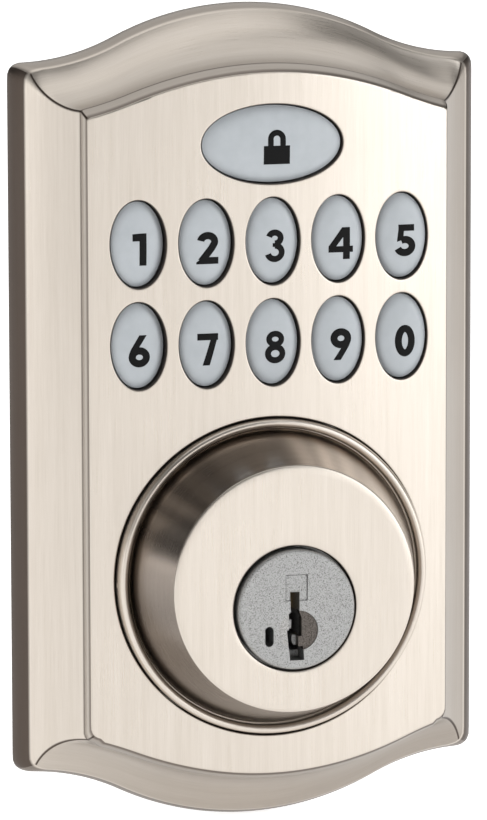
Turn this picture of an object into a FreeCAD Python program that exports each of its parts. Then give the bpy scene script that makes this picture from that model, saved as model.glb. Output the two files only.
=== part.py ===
import FreeCAD, Part
import math
import os

V = FreeCAD.Vector

# Frame: +Z up, the lock faces -Y, y = 0 is the door's outside face and the origin is on
# the key plug's axis. All sizes are in millimetres.

# housing outline and crowned face
housing_half_width = 36.0
housing_half_height = 61.4
housing_mid_z = 25.5
housing_depth = 16.7
outline_rise = 8.2
outline_shoulder = 34.6
outline_turn = 20.0
corner_round = 1.8
face_half_width = 27.5
face_half_height = 52.3
face_crown_radius = 172.0
face_arch_radius = 53.0
face_arch_turn = 21.0
face_shoulder_radius = 45.0
step_depth = 2.3
step_side = 0.4
step_top = 1.1
lip_side = 2.2
lip_top = 0.9
lip_depth = 3.5
bevel_sag = 0.45
cove_sag = 1.5
step_sag = 0.15
lip_sag = 0.35
housing_wall = 2.2
face_inner_y = -12.9
front_reach = 1.5
section_count = 25

# keys
key_pitch = 10.08
key_columns = 5
key_row_z = [52.9, 37.9]
key_half_width = 4.14
key_half_height = 6.48
lock_half_width = 10.8
lock_half_height = 5.88
lock_z = 67.2
key_gap = 0.25
key_inset = 1.0
key_dome = 0.8
key_flange = 0.6
key_flange_thick = 0.9
key_flange_gap = 0.15
key_travel = 0.85
key_rest_gap = 0.05

# keypad stack behind the keys
pad_half_width = 23.4
pad_low_z = 30.2
pad_high_z = 74.0
membrane_thick = 0.8
pad_clearance = 0.4
dome_share = 0.6
nub_radius = 1.0
nub_height = 0.3
guide_thick = 0.9
guide_window = 1.9
board_front_y = -8.4
board_thick = 1.6
switch_radius = 1.5
switch_height = 0.5
led_size = [1.6, 0.6, 0.8]
post_root = 0.4
board_post_radius = 1.8
board_post_high = [17.0, 69.8]
board_screw_radius = 0.9
screw_clearance = 0.02
slip_clearance = 0.15
chip_size = [9.0, 1.0, 9.0]
chip_place = [-11.0, 58.0]
sounder_radius = 5.0
sounder_height = 2.4
sounder_place = [12.0, 58.5]
sounder_hole = 0.7
socket_size = [13.0, 2.8, 5.0]
socket_z = 41.0
socket_wall = 0.6
socket_pins = 10
socket_pin_pitch = 1.0

# rear cover, seal and gland
cover_front_y = -3.2
cover_thick = 1.6
cover_gap = 0.2
cover_hole_radius = 24.0
cover_post_radius = 2.0
cover_posts = [[25.5, 66.0], [25.5, 29.5], [24.0, -19.0]]
cover_screw_radius = 1.1
cover_screw_length = 7.0
seal_width = 2.6
gland_half = [4.6, 3.0]
gland_place = [0.0, 31.6]
gland_rim = 1.4
gland_flange = 1.0

# round collar over the cylinder
collar_z = 2.9
collar_rim_radius = 23.7
collar_rim_y = -17.5
collar_lip = 1.4
collar_shoulder_radius = 22.1
collar_shoulder_y = -15.8
collar_top_radius = 18.35
collar_disc_y = -27.9
collar_chamfer = 0.45
collar_wall = 2.0
collar_fit_gap = 0.2
collar_flange_radius = 25.4
collar_flange_y = -11.6
collar_flange_thick = 1.6
collar_ear_circle = 27.4
collar_ear_radius = 3.2
collar_ears = 4
collar_screw_radius = 1.45
collar_screw_bite = 2.6

# lock cylinder
plug_head_radius = 8.9
plug_head_gap = 0.34
plug_face_y = -28.85
plug_radius = 7.4
plug_running_gap = 0.05
plug_step_y = -25.7
plug_back_y = -3.0
body_radius = 13.0
body_front_gap = 0.1
body_back_y = -5.0
body_flange_radius = 23.4
body_flange_thick = 2.0
fixing_half_spacing = 17.5
fixing_post_radius = 3.6
fixing_hole_radius = 2.0
fixing_hole_depth = 6.5
fixing_post_back_y = -0.5
keyway_outline = [[0.4, 2.65], [0.4, -0.3], [0.75, -1.2], [0.75, -3.95], [-0.35, -3.95],
                  [-0.35, -4.9], [-0.1, -5.45], [0.95, -5.45], [1.1, -7.5], [-1.05, -7.5],
                  [-1.5, -3.0], [-0.45, -3.0], [-0.4, -1.7], [-1.15, -1.7], [-0.95, -0.3],
                  [-1.0, 2.65]]
keyway_back_y = -5.8
keyway_floor = 0.9
guard_radius = 2.95
guard_place = [0.25, -3.1]
guard_depth = 1.6
guard_square = [3.1, 3.65]
guard_square_top = 5.1
guard_square_x = -0.05
guard_set_back = 0.15
reset_slot = [1.3, 3.0]
reset_place = [-4.2, -3.8]
reset_depth = 6.0

# tumblers, sidebar and springs
tumbler_count = 5
tumbler_pitch = 3.9
tumbler_first_y = -22.4
tumbler_radius = 1.25
tumbler_low_z = -1.1
tumbler_high_z = 2.5
tumbler_gap = 0.07
tumbler_travel = 1.6
chamber_top_z = 6.3
rack_thick = 1.15
rack_half_width = 1.3
rack_low_z = -2.6
rack_high_z = 3.4
rack_notch = 0.5
sidebar_inner_x = 2.75
sidebar_half_height = 0.9
sidebar_travel = 0.8
sidebar_gap = 0.06
sidebar_end = 1.6
spring_wire = 0.36
spring_turns = 6
sidebar_spring_wire = 0.2
sidebar_spring_radius = 0.5
sidebar_spring_length = 1.6

# drive to the inside of the door
clip_thick = 0.7
clip_groove_radius = 6.5
clip_radius = 9.0
clip_opening = 70.0
cam_radius = 7.2
cam_thick = 1.8
cam_window_radius = 4.6
cap_thick = 0.8
cam_screw_circle = 5.75
cam_screw_radius = 0.7
blade_thick = 2.0
blade_width = 6.0
blade_tab_half = 4.4
blade_neck_radius = 3.3
blade_neck_length = 5.0
blade_gap = 0.06
blade_end_y = 66.0

# adapter ring in the door's cross bore
ring_radius = 26.75
ring_wall = 2.6
ring_depth = 7.0
ring_flange_radius = 28.4
ring_flange_thick = 1.4
ring_relief_half = 7.2

# places that follow from the sizes above
face_y = -housing_depth
body_front_y = plug_step_y + body_front_gap
body_flange_y = collar_flange_y + collar_flange_thick
cover_back_y = cover_front_y + cover_thick
key_flange_y = face_inner_y + key_flange_gap
key_back_y = key_flange_y + key_flange_thick
membrane_front_y = key_back_y + key_travel + pad_clearance
membrane_back_y = membrane_front_y + membrane_thick
board_back_y = board_front_y + board_thick
cam_back_y = plug_back_y + cam_thick
blade_front_y = plug_back_y + blade_gap


def box(x0, x1, y0, y1, z0, z1):
    return Part.makeBox(x1 - x0, y1 - y0, z1 - z0, V(x0, y0, z0))


def rod(radius, y0, y1, x=0.0, z=0.0):
    return Part.makeCylinder(radius, y1 - y0, V(x, y0, z), V(0, 1, 0))


def tube(outer, inner, y0, y1, x=0.0, z=0.0):
    return rod(outer, y0, y1, x, z).cut(rod(inner, y0 - 1, y1 + 1, x, z))


def oval_wire(half_x, half_z, y, x=0.0, z=0.0):
    wide = half_x >= half_z
    ellipse = Part.Ellipse(V(0, 0, 0), max(half_x, half_z), min(half_x, half_z))
    edge = ellipse.toShape()
    edge.rotate(V(0, 0, 0), V(1, 0, 0), 90)
    if not wide:
        edge.rotate(V(0, 0, 0), V(0, 1, 0), 90)
    edge.translate(V(x, y, z))
    return Part.Wire([edge])


def oval(half_x, half_z, y0, y1, x=0.0, z=0.0):
    return Part.Face(oval_wire(half_x, half_z, y0, x, z)).extrude(V(0, y1 - y0, 0))


def prism(points, y0, y1):
    ring = [V(x, y0, z) for x, z in points]
    return Part.Face(Part.makePolygon(ring + ring[:1])).extrude(V(0, y1 - y0, 0))


def spun(points, x=0.0, z=0.0):
    ring = [V(x + r, y, z) for r, y in points]
    face = Part.Face(Part.makePolygon(ring + ring[:1]))
    return face.revolve(V(x, 0, z), V(0, 1, 0), 360)


def join(shapes):
    whole = shapes[0]
    for shape in shapes[1:]:
        whole = whole.fuse(shape)
    return whole.removeSplitter()


def save(name, shape):
    solids = [s for s in shape.Solids if s.Volume > 1e-6]
    out = solids[0] if len(solids) == 1 else Part.makeCompound(solids)
    out.exportStep("parts/" + name + ".step")
    print(name, len(solids), round(sum(s.Volume for s in solids), 1))


def crown_y(x):
    return face_y + x * x / (2 * face_crown_radius)


def face_top(x):
    """Half height of the face plateau at x: a round arch that runs out in a hollow."""
    side = abs(x)
    start = min(side, face_arch_turn)
    drop = start * start / (2 * face_arch_radius)
    if side > face_arch_turn:
        run = side - face_arch_turn
        drop += run * face_arch_turn / face_arch_radius - run * run / (2 * face_shoulder_radius)
    return face_half_height - drop


def outline_top(x):
    """Half height of the back outline at x: an ogee that ends level at the shoulder."""
    side = min(abs(x), outline_shoulder)
    turn = 2 * math.atan(outline_rise / outline_shoulder)
    crest = outline_turn / math.sin(turn)
    hollow = (outline_shoulder - outline_turn) / math.sin(turn)
    if side < outline_turn:
        return housing_half_height - crest + math.sqrt(crest ** 2 - side ** 2)
    run = outline_shoulder - side
    return housing_half_height - outline_rise + hollow - math.sqrt(hollow ** 2 - run ** 2)


def bowed(start, end, sag):
    """Middle point of an arc from start to end, sag to the right of the way there."""
    run = [end[0] - start[0], end[1] - start[1]]
    long = math.hypot(run[0], run[1])
    return [(start[0] + end[0]) / 2 + sag * run[1] / long,
            (start[1] + end[1]) / 2 - sag * run[0] / long]


def profile_edges(start, step, lip, back, sag, turn, place):
    """Rounded step, hollow cove and rounded lip, as three arcs in one plane."""
    legs = [[start, step, -step_sag], [step, lip, sag], [lip, back, -lip_sag]]
    return [Part.Arc(place(a), place(bowed(a, b, s * turn)), place(b)).toShape()
            for a, b, s in legs]


def width_body():
    """The housing's plan shape, crowned in front, drawn once and run the whole height."""
    half = face_half_width
    start = [half, crown_y(half)]
    step = [half + step_side, start[1] + step_depth]
    lip = [housing_half_width - lip_side, -lip_depth]
    back = [housing_half_width, 0.0]
    tall = housing_half_height + front_reach
    low = housing_mid_z - tall

    right = profile_edges(start, step, lip, back, bevel_sag, -1, lambda p: V(p[0], p[1], low))
    left = profile_edges(start, step, lip, back, bevel_sag, -1, lambda p: V(-p[0], p[1], low))
    crown = Part.Arc(V(-half, start[1], low), V(0, face_y, low), V(half, start[1], low))
    rear = Part.makeLine(V(-back[0], 0, low), V(back[0], 0, low))
    wire = Part.Wire(Part.__sortEdges__([crown.toShape(), rear] + right + left))
    return Part.Face(wire).extrude(V(0, 0, 2 * tall))


def height_section(x):
    """Upright section of the arched top and bottom mouldings at one place across."""
    start = [crown_y(x) + 0.2, face_top(x)]
    step = [crown_y(x) + step_depth, face_top(x) + step_top]
    lip = [-lip_depth, outline_top(x) - lip_top]
    back = [0.0, outline_top(x)]
    nose = [face_y - front_reach, face_top(x)]

    def upper(p):
        return V(x, p[0], housing_mid_z + p[1])

    def lower(p):
        return V(x, p[0], housing_mid_z - p[1])

    top = profile_edges(start, step, lip, back, cove_sag, 1, upper)
    bottom = profile_edges(start, step, lip, back, cove_sag, 1, lower)
    edges = [Part.makeLine(lower(nose), upper(nose)), Part.makeLine(upper(nose), upper(start))]
    edges += top
    edges += [Part.makeLine(upper(back), lower(back))]
    edges += bottom[::-1]
    edges += [Part.makeLine(lower(start), lower(nose))]
    return Part.Wire(Part.__sortEdges__(edges))


def height_body():
    wide = housing_half_width + 1.0
    places = [wide * (2 * i / (section_count - 1) - 1) for i in range(section_count)]
    return Part.makeLoft([height_section(x) for x in places], True, False)


def corner_trim():
    """Blocks off the outline's four upright corners, leaving them round."""
    shoulder = housing_half_height - outline_rise + 0.05
    inner = housing_half_width - corner_round
    tall = housing_half_height + 2 * front_reach
    front = face_y - 2 * front_reach
    parts = [box(-inner, inner, front, 1, housing_mid_z - tall, housing_mid_z + tall),
             box(-housing_half_width, housing_half_width, front, 1,
                 housing_mid_z - shoulder + corner_round, housing_mid_z + shoulder - corner_round)]
    for sx in (-1, 1):
        for sz in (-1, 1):
            parts.append(rod(corner_round, front, 1, sx * inner,
                             housing_mid_z + sz * (shoulder - corner_round)))
    return join(parts)


def inner_half_width(y):
    front = face_half_width - 0.8 * housing_wall
    back = housing_half_width - lip_side - housing_wall
    share = (y - face_inner_y) / (-lip_depth - face_inner_y)
    return front + (back - front) * min(max(share, 0.0), 1.0)


def inner_half_height(x, y):
    front = face_top(x) - 0.55 * housing_wall
    back = outline_top(x) - lip_top - 1.05 * housing_wall
    share = (y - face_inner_y) / (-lip_depth - face_inner_y)
    return front + (back - front) * min(max(share, 0.0), 1.0)


def hollow_section(x):
    levels = [face_inner_y - 1, face_inner_y, -lip_depth, 1.0]
    ring = [V(x, y, housing_mid_z + inner_half_height(x, y)) for y in levels]
    ring += [V(x, y, housing_mid_z - inner_half_height(x, y)) for y in levels[::-1]]
    return Part.makePolygon(ring + ring[:1])


def hollow_body():
    wide = housing_half_width + 1.0
    places = [wide * (2 * i / (section_count - 1) - 1) for i in range(section_count)]
    tall = Part.makeLoft([hollow_section(x) for x in places], True, False)
    levels = [face_inner_y, -lip_depth, 2.0]
    right = [V(inner_half_width(y), y, 0) for y in levels]
    left = [V(-inner_half_width(y), y, 0) for y in levels[::-1]]
    plan = Part.Face(Part.makePolygon(right + left + right[:1]))
    height = 2 * housing_half_height
    plan.translate(V(0, 0, housing_mid_z - height / 2))
    return tall.common(plan.extrude(V(0, 0, height)))


def key_places():
    """Name, place and half sizes of every key and of the lock button."""
    names = ["key_1", "key_2", "key_3", "key_4", "key_5",
             "key_6", "key_7", "key_8", "key_9", "key_0"]
    keys = []
    for i, name in enumerate(names):
        x = (i % key_columns - (key_columns - 1) / 2) * key_pitch
        z = key_row_z[i // key_columns]
        keys.append([name, x, z, key_half_width, key_half_height])
    keys.append(["lock_button", 0.0, lock_z, lock_half_width, lock_half_height])
    return keys


def board_post_places():
    side = key_pitch * 1.5
    middle = (key_row_z[0] + key_row_z[1]) / 2
    high_x, high_z = board_post_high
    return [[-side, middle], [side, middle], [-high_x, high_z], [high_x, high_z]]


def cover_post_places():
    return [[s * x, z] for x, z in cover_posts for s in (-1, 1)]


def ear_places():
    places = []
    for i in range(collar_ears):
        angle = 2 * math.pi * (i + 0.5) / collar_ears
        places.append([collar_ear_circle * math.cos(angle),
                       collar_z + collar_ear_circle * math.sin(angle)])
    return places


def make_housing():
    outer = width_body().common(height_body()).common(corner_trim())
    hollow = hollow_body()
    shell = outer.cut(hollow)
    root_y = face_inner_y - post_root
    posts = [rod(board_post_radius, root_y, board_front_y, x, z)
             for x, z in board_post_places()]
    posts += [rod(cover_post_radius, root_y, cover_front_y, x, z)
              for x, z in cover_post_places()]
    posts += [rod(collar_ear_radius, root_y, collar_flange_y, x, z)
              for x, z in ear_places()]
    shell = join([shell] + posts)
    for name, x, z, a, b in key_places():
        shell = shell.cut(oval(a, b, face_y - 1, face_inner_y + 1, x, z))
    shell = shell.cut(rod(collar_rim_radius + collar_fit_gap, face_y - 1, face_inner_y + 2,
                          0, collar_z))
    for x, z in board_post_places():
        shell = shell.cut(rod(board_screw_radius + screw_clearance,
                              face_inner_y - 0.4, board_front_y + 1, x, z))
    for x, z in cover_post_places():
        shell = shell.cut(rod(cover_screw_radius + screw_clearance,
                              cover_back_y - cover_screw_length - 0.3, cover_front_y + 1, x, z))
    for x, z in ear_places():
        shell = shell.cut(rod(collar_screw_radius + screw_clearance,
                              collar_flange_y - collar_screw_bite - 0.2, collar_flange_y + 1, x, z))
    save("housing", shell)


def dome_cap(a, b, edge_y, x, z):
    """Low pillow in front of a cap, drawn through ever smaller ovals."""
    steps = [[0.0, 0.0], [0.12, 0.35], [0.4, 0.62], [0.68, 0.86], [0.9, 0.98]]
    wires = [oval_wire(a - s * min(a, b), b - s * min(a, b), edge_y - h * key_dome, x, z)
             for s, h in steps]
    return Part.makeLoft(wires, True, False)


def make_keys():
    for name, x, z, hole_a, hole_b in key_places():
        a = hole_a - key_gap
        b = hole_b - key_gap
        edge_y = crown_y(x) + key_inset
        cap = oval(a, b, edge_y, key_flange_y + 0.1, x, z)
        flange = oval(a + key_gap + key_flange, b + key_gap + key_flange,
                      key_flange_y, key_back_y, x, z)
        save(name, join([cap, dome_cap(a, b, edge_y, x, z), flange]))


def pad_plate(y0, y1, hole_radius):
    """Arched plate on the board's four posts."""
    arch = [[x, housing_mid_z + face_top(x) - 2.6] for x in
            [pad_half_width * (1 - i / 8) for i in range(17)]]
    arch = [[x, min(z, pad_high_z)] for x, z in arch]
    outline = [[-pad_half_width, pad_low_z], [pad_half_width, pad_low_z]] + arch
    plate = prism(outline, y0, y1)
    for x, z in board_post_places():
        plate = plate.cut(rod(hole_radius, y0 - 1, y1 + 1, x, z))
    return plate


def make_membrane():
    sheet = pad_plate(membrane_front_y, membrane_back_y, board_post_radius + slip_clearance)
    front = membrane_front_y
    domes = []
    for name, x, z, a, b in key_places():
        low = oval(a * dome_share, b * dome_share, front, front + 0.1, x, z)
        rise = Part.makeLoft([oval_wire(a * dome_share, b * dome_share, front, x, z),
                              oval_wire(a * dome_share - 0.5, b * dome_share - 0.5,
                                        key_back_y + key_rest_gap, x, z)], True, True)
        nub = rod(nub_radius, membrane_back_y - 0.1, membrane_back_y + nub_height, x, z)
        domes += [low, rise, nub]
    save("keypad_membrane", join([sheet] + domes))


def led_places():
    middle = (key_row_z[0] + key_row_z[1]) / 2
    places = [[(i - (key_columns - 1) / 2) * key_pitch, middle] for i in range(key_columns)]
    side = lock_half_width + 2.4
    return places + [[-side, lock_z - 1.5], [side, lock_z - 1.5]]


def make_light_guide():
    back = board_front_y - slip_clearance
    guide = pad_plate(back - guide_thick, back, board_post_radius + slip_clearance)
    for name, x, z, a, b in key_places():
        guide = guide.cut(rod(guide_window, back - 2, back + 1, x, z))
    for x, z in led_places():
        guide = guide.cut(box(x - 1.1, x + 1.1, back - 2, back + 1, z - 0.7, z + 0.7))
    save("light_guide", guide)


def make_board():
    board = pad_plate(board_front_y, board_back_y, board_screw_radius + slip_clearance)
    save("circuit_board", board)
    switches = [rod(switch_radius, board_front_y - switch_height, board_front_y, x, z)
                for name, x, z, a, b in key_places()]
    save("dome_switches", Part.makeCompound(switches))
    wide, deep, tall = led_size
    leds = [box(x - wide / 2, x + wide / 2, board_front_y - deep, board_front_y,
                z - tall / 2, z + tall / 2) for x, z in led_places()]
    save("backlight_leds", Part.makeCompound(leds))
    wide, deep, tall = chip_size
    x, z = chip_place
    save("controller_chip", box(x - wide / 2, x + wide / 2, board_back_y, board_back_y + deep,
                                z - tall / 2, z + tall / 2))


def make_components():
    """Capacitors, resistors and a crystal in neat rows behind the board."""
    rows = [[-10.0, 70.0, 1.6, 0.8], [-20.0, 50.0, 2.0, 1.2], [6.0, 50.0, 2.0, 1.2]]
    parts = []
    for x0, z, wide, tall in rows:
        for i in range(5):
            x = x0 + i * 3.0
            parts.append(box(x - wide / 2, x + wide / 2, board_back_y, board_back_y + tall,
                             z - tall / 2, z + tall / 2))
    parts.append(box(6.0, 9.2, board_back_y, board_back_y + 1.2, 65.0, 70.0))
    save("board_components", Part.makeCompound(parts))


def make_sounder():
    x, z = sounder_place
    can = rod(sounder_radius, board_back_y, board_back_y + sounder_height, x, z)
    can = can.cut(rod(sounder_hole, board_back_y + 1, board_back_y + sounder_height + 1, x, z))
    save("sounder", can)


def make_socket():
    wide, deep, tall = socket_size
    back = board_back_y + deep
    shell = box(-wide / 2, wide / 2, board_back_y, back, socket_z - tall / 2, socket_z + tall / 2)
    shell = shell.cut(box(-wide / 2 + socket_wall, wide / 2 - socket_wall,
                          board_back_y + socket_wall, back - socket_wall,
                          socket_z - tall, socket_z + tall / 2 - 1.0))
    pins = []
    middle = board_back_y + deep / 2
    for i in range(socket_pins):
        x = (i - (socket_pins - 1) / 2) * socket_pin_pitch
        pins.append(box(x - 0.2, x + 0.2, middle - 0.2, middle + 0.2,
                        socket_z - tall / 2 + 0.6, socket_z + tall / 2 - 0.5))
    save("cable_socket", join([shell] + pins))


def make_board_screws():
    screws = []
    for x, z in board_post_places():
        head = rod(2 * board_screw_radius, board_back_y, board_back_y + 1.1, x, z)
        shank = rod(board_screw_radius, face_inner_y, board_back_y + 0.2, x, z)
        slot = box(x - 1.3, x + 1.3, board_back_y + 0.6, board_back_y + 2, z - 0.2, z + 0.2)
        screws.append(join([head, shank]).cut(slot))
    save("board_screws", Part.makeCompound(screws))


def back_plate(y0, y1, inset):
    """Plate that fills the housing's rear mouth, less an inset all round."""
    half = inner_half_width(0) - inset
    places = [half * (1 - i / 24) for i in range(49)]
    top = [[x, housing_mid_z + inner_half_height(x, 0) - inset] for x in places]
    bottom = [[x, housing_mid_z - inner_half_height(x, 0) + inset] for x in places[::-1]]
    return prism(top + bottom, y0, y1)


def make_rear_cover():
    plate = back_plate(cover_front_y, cover_back_y, cover_gap)
    plate = plate.cut(rod(cover_hole_radius, cover_front_y - 1, cover_back_y + 1))
    x, z = gland_place
    a, b = gland_half
    hole_a = a + gland_rim - 0.5
    hole_b = b + gland_rim - 0.5
    plate = plate.cut(box(x - hole_a, x + hole_a, cover_front_y - 1, cover_back_y + 1,
                          z - hole_b, z + hole_b))
    for x, z in cover_post_places():
        plate = plate.cut(rod(cover_screw_radius + slip_clearance,
                              cover_front_y - 1, cover_back_y + 1, x, z))
    ribs = []
    for i in range(5):
        z = 44.0 + 6.0 * i
        ribs.append(box(-18, 18, cover_back_y, cover_back_y + 0.6, z - 0.5, z + 0.5))
    save("rear_cover", join([plate] + ribs))


def make_cover_screws():
    screws = []
    for x, z in cover_post_places():
        head = rod(cover_post_radius - 0.1, cover_back_y, cover_back_y + 1.1, x, z)
        shank = rod(cover_screw_radius, cover_back_y - cover_screw_length, cover_back_y + 0.2, x, z)
        cross = box(x - 1.2, x + 1.2, cover_back_y + 0.5, cover_back_y + 2, z - 0.25, z + 0.25)
        cross = cross.fuse(box(x - 0.25, x + 0.25, cover_back_y + 0.5, cover_back_y + 2,
                               z - 1.2, z + 1.2))
        screws.append(join([head, shank]).cut(cross))
    save("cover_screws", Part.makeCompound(screws))


def make_door_seal():
    ring = back_plate(cover_back_y, 0.0, cover_gap).cut(
        back_plate(cover_back_y - 1, 1.0, cover_gap + seal_width))
    save("door_seal", ring)


def make_gland():
    x, z = gland_place
    a, b = gland_half
    rim = gland_rim
    flange = gland_rim + gland_flange

    def ring(grow, y0, y1):
        return box(x - a - grow, x + a + grow, y0, y1, z - b - grow, z + b + grow)

    body = join([ring(rim - 0.5, cover_front_y - 0.5, cover_back_y + 0.5),
                 ring(flange - 0.5, cover_front_y - 0.9, cover_front_y),
                 ring(flange - 0.5, cover_back_y, cover_back_y + 0.7)])
    save("cable_gland", body.cut(ring(0.0, cover_front_y - 3, cover_back_y + 3)))


def collar_outside():
    rim = collar_rim_radius
    lip_in = rim - collar_lip
    return [[rim, collar_rim_y + 0.8],
            [rim - 0.22, collar_rim_y + 0.2],
            [rim - 0.6, collar_rim_y],
            [lip_in + 0.35, collar_rim_y + 0.1],
            [lip_in, collar_rim_y + 0.6],
            [lip_in, collar_shoulder_y],
            [collar_shoulder_radius, collar_shoulder_y],
            [collar_top_radius, collar_disc_y + collar_chamfer],
            [collar_top_radius - collar_chamfer, collar_disc_y]]


def ear_plate(radius, y0, y1):
    """Round flange with four ears for the fixing screws."""
    plate = rod(radius, y0, y1, 0, collar_z)
    ears = []
    for x, z in ear_places():
        ears.append(rod(collar_ear_radius, y0, y1, x, z))
        web = box(-collar_ear_radius, collar_ear_radius, y0, y1, 0, collar_ear_circle)
        web.rotate(V(0, 0, 0), V(0, 1, 0), math.degrees(math.atan2(x, z - collar_z)))
        web.translate(V(0, 0, collar_z))
        ears.append(web)
    plate = join([plate] + ears)
    for x, z in ear_places():
        plate = plate.cut(rod(collar_screw_radius + slip_clearance, y0 - 1, y1 + 1, x, z))
    return plate


def make_collar():
    back = collar_flange_y + collar_flange_thick
    outside = collar_outside()
    front_in = collar_top_radius - collar_wall
    rear_in = collar_rim_radius - 1.2 * collar_wall
    wall_y = collar_disc_y + collar_wall
    ring = [[0, collar_disc_y]] + outside[::-1] + [[collar_rim_radius, back], [rear_in, back],
                                                  [rear_in, collar_shoulder_y + 1.5],
                                                  [collar_shoulder_radius - collar_wall,
                                                   collar_shoulder_y],
                                                  [front_in, wall_y], [0, wall_y]]
    cup = spun(ring, 0, collar_z)
    flange = ear_plate(collar_flange_radius, collar_flange_y, back)
    flange = flange.cut(rod(rear_in, collar_flange_y - 1, back + 1, 0, collar_z))
    cup = join([cup, flange])
    hole = rod(plug_head_radius + plug_head_gap, collar_disc_y - 1, wall_y + 1)
    save("cylinder_collar", cup.cut(hole))


def make_collar_seal():
    seal = tube(collar_flange_radius, collar_rim_radius + collar_fit_gap,
                face_inner_y + screw_clearance, collar_flange_y, 0, collar_z)
    for x, z in ear_places():
        seal = seal.cut(rod(collar_ear_radius + slip_clearance, face_inner_y - 1,
                            collar_flange_y + 1, x, z))
    save("collar_seal", seal)


def make_cylinder_body():
    body = rod(body_radius, body_front_y, body_back_y)
    flange = ear_plate(body_flange_radius, body_flange_y, body_flange_y + body_flange_thick)
    posts = [rod(fixing_post_radius, body_flange_y, fixing_post_back_y, s * fixing_half_spacing)
             for s in (-1, 1)]
    body = join([body, flange] + posts)
    body = body.cut(rod(plug_radius + plug_running_gap, body_front_y - 1, body_back_y + 1))
    for turn in (-90, 0, 90):
        groove = box(0, plug_radius + sidebar_travel + 0.3, body_front_y + 1,
                     tumbler_last_y() + sidebar_end + 0.5,
                     -sidebar_half_height - 0.2, sidebar_half_height + 0.2)
        groove.rotate(V(0, 0, 0), V(0, 1, 0), turn)
        body = body.cut(groove)
    for s in (-1, 1):
        body = body.cut(rod(fixing_hole_radius, fixing_post_back_y - fixing_hole_depth,
                            fixing_post_back_y + 1, s * fixing_half_spacing))
    save("cylinder_body", body)


def make_collar_screws():
    screws = []
    back = body_flange_y + body_flange_thick
    for x, z in ear_places():
        head = rod(1.8 * collar_screw_radius, back, back + 1.6, x, z)
        shank = rod(collar_screw_radius, collar_flange_y - collar_screw_bite, back + 0.2, x, z)
        slot = box(x - 1.9, x + 1.9, back + 0.9, back + 3, z - 0.3, z + 0.3)
        screws.append(join([head, shank]).cut(slot))
    save("collar_screws", Part.makeCompound(screws))


def tumbler_last_y():
    return tumbler_first_y + (tumbler_count - 1) * tumbler_pitch


def tumbler_places():
    return [tumbler_first_y + i * tumbler_pitch for i in range(tumbler_count)]


def keyway(y0, y1):
    """Warded keyway with a rib on each side and a wider foot, run along the plug."""
    return prism([[x, z] for x, z in keyway_outline], y0, y1)


def rack_x():
    return tumbler_radius + tumbler_gap / 2


def sidebar_box(grow):
    reach = plug_radius - 0.1
    return box(sidebar_inner_x - grow, reach + grow, tumbler_first_y - sidebar_end - grow,
               tumbler_last_y() + sidebar_end + grow,
               -sidebar_half_height - grow, sidebar_half_height + grow)


def make_plug():
    plug = join([rod(plug_head_radius, plug_face_y, plug_step_y),
                 rod(plug_radius, plug_step_y - 1, plug_back_y)])
    head_edges = [e for e in plug.Edges if abs(e.BoundBox.YMin - plug_face_y) < 1e-4]
    plug = plug.makeFillet(0.5, head_edges)
    plug = plug.cut(keyway(plug_face_y - 1, plug_step_y))
    floor = -plug_radius + keyway_floor
    plug = plug.cut(keyway(plug_step_y - 0.1, keyway_back_y).common(
        box(-plug_radius, plug_radius, plug_step_y - 1, keyway_back_y + 1, floor, plug_radius)))
    for y in tumbler_places():
        chamber = Part.makeCylinder(tumbler_radius + tumbler_gap, chamber_top_z - tumbler_low_z + 0.3,
                                    V(0, y, tumbler_low_z - 0.3), V(0, 0, 1))
        slot = box(tumbler_radius - 0.3, rack_x() + rack_thick + 2 * tumbler_gap,
                   y - rack_half_width - tumbler_gap, y + rack_half_width + tumbler_gap,
                   rack_low_z - 0.3, rack_high_z + tumbler_travel + 0.3)
        plug = plug.cut(chamber).cut(slot)
    bar = sidebar_box(sidebar_gap)
    plug = plug.cut(bar.fuse(box(plug_radius - 1, plug_radius + 1, bar.BoundBox.YMin,
                                 bar.BoundBox.YMax, bar.BoundBox.ZMin, bar.BoundBox.ZMax)))
    x, z = guard_place
    plug = plug.cut(rod(guard_radius + screw_clearance, plug_face_y - 1, plug_face_y + guard_depth,
                        x, z))
    plug = plug.cut(guard_block(screw_clearance))
    x, z = reset_place
    wide, tall = reset_slot
    for dz in (-1, 1):
        plug = plug.cut(rod(wide / 2, plug_face_y - 1, plug_face_y + reset_depth,
                            x, z + dz * (tall - wide) / 2))
    plug = plug.cut(box(x - wide / 2, x + wide / 2, plug_face_y - 1, plug_face_y + reset_depth,
                        z - (tall - wide) / 2, z + (tall - wide) / 2))
    groove_y = body_back_y + 0.1
    plug = plug.cut(tube(plug_radius + 1, clip_groove_radius, groove_y, groove_y + clip_thick + 0.1))
    for x, z in cam_screw_places():
        plug = plug.cut(rod(cam_screw_radius + screw_clearance, plug_back_y - 2.6, plug_back_y + 1,
                            x, z))
    save("key_plug", plug)


def guard_block(grow):
    wide, tall = guard_square
    return box(guard_square_x - wide / 2 - grow, guard_square_x + wide / 2 + grow,
               plug_face_y + guard_set_back - grow, plug_face_y + guard_depth + grow,
               guard_square_top - tall - grow, guard_square_top + grow)


def make_guards():
    """Hard steel inserts in the plug's face: a disc split by the keyway and a square block."""
    x, z = guard_place
    front = plug_face_y + guard_set_back
    disc = rod(guard_radius, front, plug_face_y + guard_depth - screw_clearance, x, z)
    way = keyway(plug_face_y - 1, keyway_back_y)
    right = box(x, plug_radius, front, plug_step_y, -plug_radius, plug_radius)
    left = box(-plug_radius, way.BoundBox.XMin + 0.3, front, plug_step_y, -plug_radius, plug_radius)
    halves = [disc.common(side).cut(way) for side in (left, right)]
    save("guard_disc", Part.makeCompound([max(h.Solids, key=lambda s: s.Volume) for h in halves]))
    save("guard_block", guard_block(0.0).cut(way))


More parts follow.
